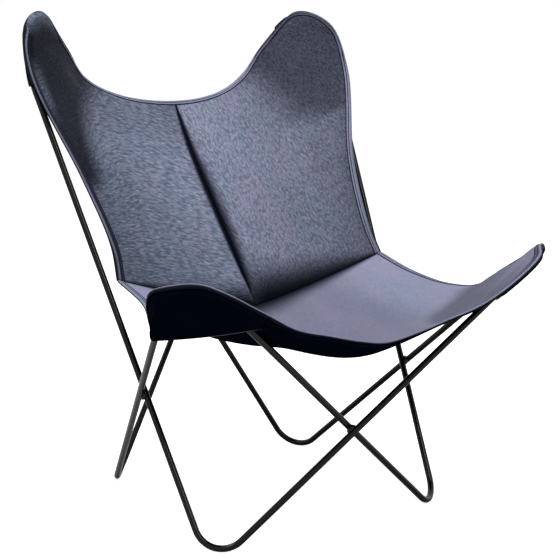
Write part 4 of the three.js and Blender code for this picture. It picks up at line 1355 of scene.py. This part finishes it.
def stitch_row(line, normals):
    steps = np.linalg.norm(np.diff(line, axis=0), axis=1)
    there = np.concatenate([[0], np.cumsum(steps)])
    places = np.arange(STITCH_PITCH, there[-1] - STITCH_PITCH, STITCH_PITCH)

    def at(values, spots):
        return np.stack([np.interp(spots, there, values[:, k]) for k in range(3)], -1)

    centre, normal = at(line, places), unit(at(normals, places))
    along = unit(at(line, places + STITCH_NEAR) - at(line, places - STITCH_NEAR))
    side = unit(np.cross(along, normal))
    turn = np.arange(STITCH_SIDES) * 2 * math.pi / STITCH_SIDES
    rings = []
    for reach, width, height in STITCH_SHAPE:
        spine = centre + along * reach * STITCH_LENGTH + normal * height * STITCH_RADIUS
        ring = side[:, None] * np.cos(turn)[:, None] + normal[:, None] * np.sin(turn)[:, None]
        rings.append(spine[:, None] + ring * width * STITCH_RADIUS)
    return np.stack(rings, 1)


# %% Sew the bands
# Counted in the points of a band's section, in the grooves between the pale strips.
STITCH_ROWS = (4.5, 8.5)


def stitches(name, band, rings, thick):
    rows = []
    for place in STITCH_ROWS:
        low = int(place)
        for a, b, way in ((low, low + 1, 1), (-1 - low, -2 - low, -1)):
            line = lerp(rings[:, a], rings[:, b], place - low)
            rows.append(stitch_row(line, thick * way))
    rows = np.concatenate(rows)
    ring_count, sides = rows.shape[1:3]
    one = ring_faces(ring_count, sides)
    size = ring_count * sides
    faces = [tuple(size * i + k for k in face) for i in range(len(rows)) for face in one]
    made = mesh_object(name, rows.reshape(-1, 3), faces, [thread])
    made.parent = band
    print(name, len(rows), "stitches")
    return made


sewing = {kind: stitches(kind + "_edge_stitches", *band) for kind, band in bands.items()}

# %% [markdown]
# ## Behind the seams
# Each seam is backed by a strip of leather, sewn on behind it, that takes the pull of the
# sitter's weight. It shows only from the back and from below.

# %% Centre seam strip
STRIP_REACH, STRIP_THICKNESS = 12 * MM, 2 * MM
STRIP_LINES, STRIP_BEND = 7, 1.3
CENTRE_STRIP_START, CENTRE_STRIP_STOP, CENTRE_STRIP_LINES = 0.02, 45 * MM, 90


def strip_between(first, middle, last):
    """A strip across a seam from three lines, rounded as leather bends."""
    w = np.linspace(-1, 1, STRIP_LINES)[:, None, None]
    return lerp(middle, np.where(w < 0, first, last), np.abs(w) ** STRIP_BEND)


stop = 1 - CENTRE_STRIP_STOP / np.linalg.norm(back_chord)
down = np.linspace(CENTRE_STRIP_START, stop, CENTRE_STRIP_LINES)
share = STRIP_REACH / np.linalg.norm(back_half(1.0, 0.5) - back_half(0.0, 0.5))
rims = {hand: surface_grid(back_half, "back", hand, [0, share], down) for hand in loops}
middle = (rims["left"][:, 0] + rims["right"][:, 0]) / 2
behind_leather = -(LEATHER + STRIP_THICKNESS) / 2 - CLEARANCE
centre_strip = leather_sheet(
    "centre_seam_strip_leather",
    strip_between(rims["left"][:, 1], middle, rims["right"][:, 1]).transpose(1, 0, 2),
    STRIP_THICKNESS, [back_nap], ["centre_seam_strip"], lift=behind_leather,
)
print(f"Centre seam strip: {centre_strip['area']:.4f} m2")

# %% Lumbar seam strip
LUMBAR_STRIP_END, LUMBAR_STRIP_LINES = 0.97, 70

across = np.linspace(0, LUMBAR_STRIP_END, LUMBAR_STRIP_LINES)
drop = STRIP_REACH / np.linalg.norm(back_chord)
reach = STRIP_REACH / np.linalg.norm(seat_half(0.0, 1.0) - seat_half(0.0, 0.0))
lines = []
for hand in ("left", "right"):
    above = surface_grid(back_half, "back", hand, across, [1 - drop, 1])
    under = surface_grid(seat_half, "seat", hand, across, [0, reach])
    row = strip_between(above[0], (above[1] + under[0]) / 2, under[1])
    lines.append(row[:, :0:-1] if hand == "left" else row)
lumbar_strip = leather_sheet(
    "lumbar_seam_strip_leather", np.concatenate(lines, 1), STRIP_THICKNESS, [shaded_nap],
    ["lumbar_seam_strip"], lift=behind_leather - STRIP_THICKNESS / 2,
)
print(f"Lumbar seam strip: {lumbar_strip['area']:.4f} m2")

# %% [markdown]
# ## What hangs
# Each panel and pocket is a sheet of leather, and each keeps its own area. The four tips of
# the rods carry them. The bands, their stitches and the seam strips belong to the panel that
# they are sewn to. Here the sheets are counted.


print("Sheets:", 3 + len(pockets))

# %% [markdown]
# ## Floor, backdrop and light
# The photograph has a pure white ground. White here is a colour and not more light: what the
# camera sees past the chair is given a strength of one, and the lamps stay at a plain level. A
# broad softbox hangs over the chair, and a tall strip in front of it draws the bright line along
# each rod.

# %% White floor
FLOOR_SIZE = 30.0
FLOOR_GREY, FLOOR_LIFT = 0.86, 0.88
WHITE = 1.0


def white_floor():
    finish = Finish("white_floor")
    ray = finish.node("LightPath")
    plain = finish.node("BsdfDiffuse", {}, {"Color": tint(*[FLOOR_GREY] * 3)})["BSDF"]
    white = finish.node("Emission", {}, {"Color": tint(1, 1, 1), "Strength": WHITE})["Emission"]
    lit = finish.node("AddShader", {}, [plain, white])["Shader"]
    seen = finish.node("MixShader", {}, [ray["Is Camera Ray"] * FLOOR_LIFT, plain, lit])["Shader"]
    finish.node("OutputMaterial", {}, {"Surface": seen})
    return finish.material


bpy.ops.mesh.primitive_plane_add(size=FLOOR_SIZE)
floor = bpy.context.object
floor.name = "floor"
floor.data.materials.append(white_floor())
floor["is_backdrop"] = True
print("Floor:", FLOOR_SIZE, "m square")

# %% White room
ROOM = 0.22
scene = bpy.context.scene
scene.view_settings.view_transform = "Standard"


def white_room():
    """White to the camera and in reflections, dim as a source of light."""
    finish = Finish("white_studio", "worlds")
    ray = finish.node("LightPath")
    mirrored = finish.math("MAXIMUM", ray["Is Glossy Ray"], ray["Is Transmission Ray"])
    seen = finish.math("MAXIMUM", ray["Is Camera Ray"], mirrored)
    limits = {"Value": seen, "To Min": ROOM, "To Max": WHITE}
    strength = finish.node("MapRange", {}, limits)["Result"]
    background = finish.node("Background", {}, {"Color": tint(1, 1, 1), "Strength": strength})
    finish.node("OutputWorld", {}, {"Surface": background["Background"]})
    return finish.material


scene.world = white_room()
print("World:", scene.world.name)

# %% Lamps


def softbox(name, place, target, size, power):
    data = bpy.data.lights.new(name, "AREA")
    data.shape, data.energy = "RECTANGLE", power
    data.size, data.size_y = size
    lamp = bpy.data.objects.new(name, data)
    lamp.location = place
    lamp.rotation_euler = (Vector(target) - Vector(place)).to_track_quat("-Z", "Y").to_euler()
    scene.collection.objects.link(lamp)
    print(name, power, "W")


softbox("top_softbox", (-0.7, 0.2, 3.0), (0, 0, 0.4), (2.2, 2.2), 108)
softbox("front_strip", (0.0, -2.3, 2.8), (0, 0, 0.4), (0.4, 2.6), 46)

# %% [markdown]
# ## The box of what was made
# The CAD model has the real size, so the dressed chair is meant to fill about the same box. The
# last line prints how far the dressed chair's box reaches past the CAD box, in millimetres.

# %% Print how far the chair reaches past the CAD box
visual_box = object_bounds()
past = [(b - a) / MM for x, y in zip(cad_box, visual_box) for a, b in zip(x, y)]
print("Past the CAD box, mm:", " ".join(f"{p:.1f}" for p in past))
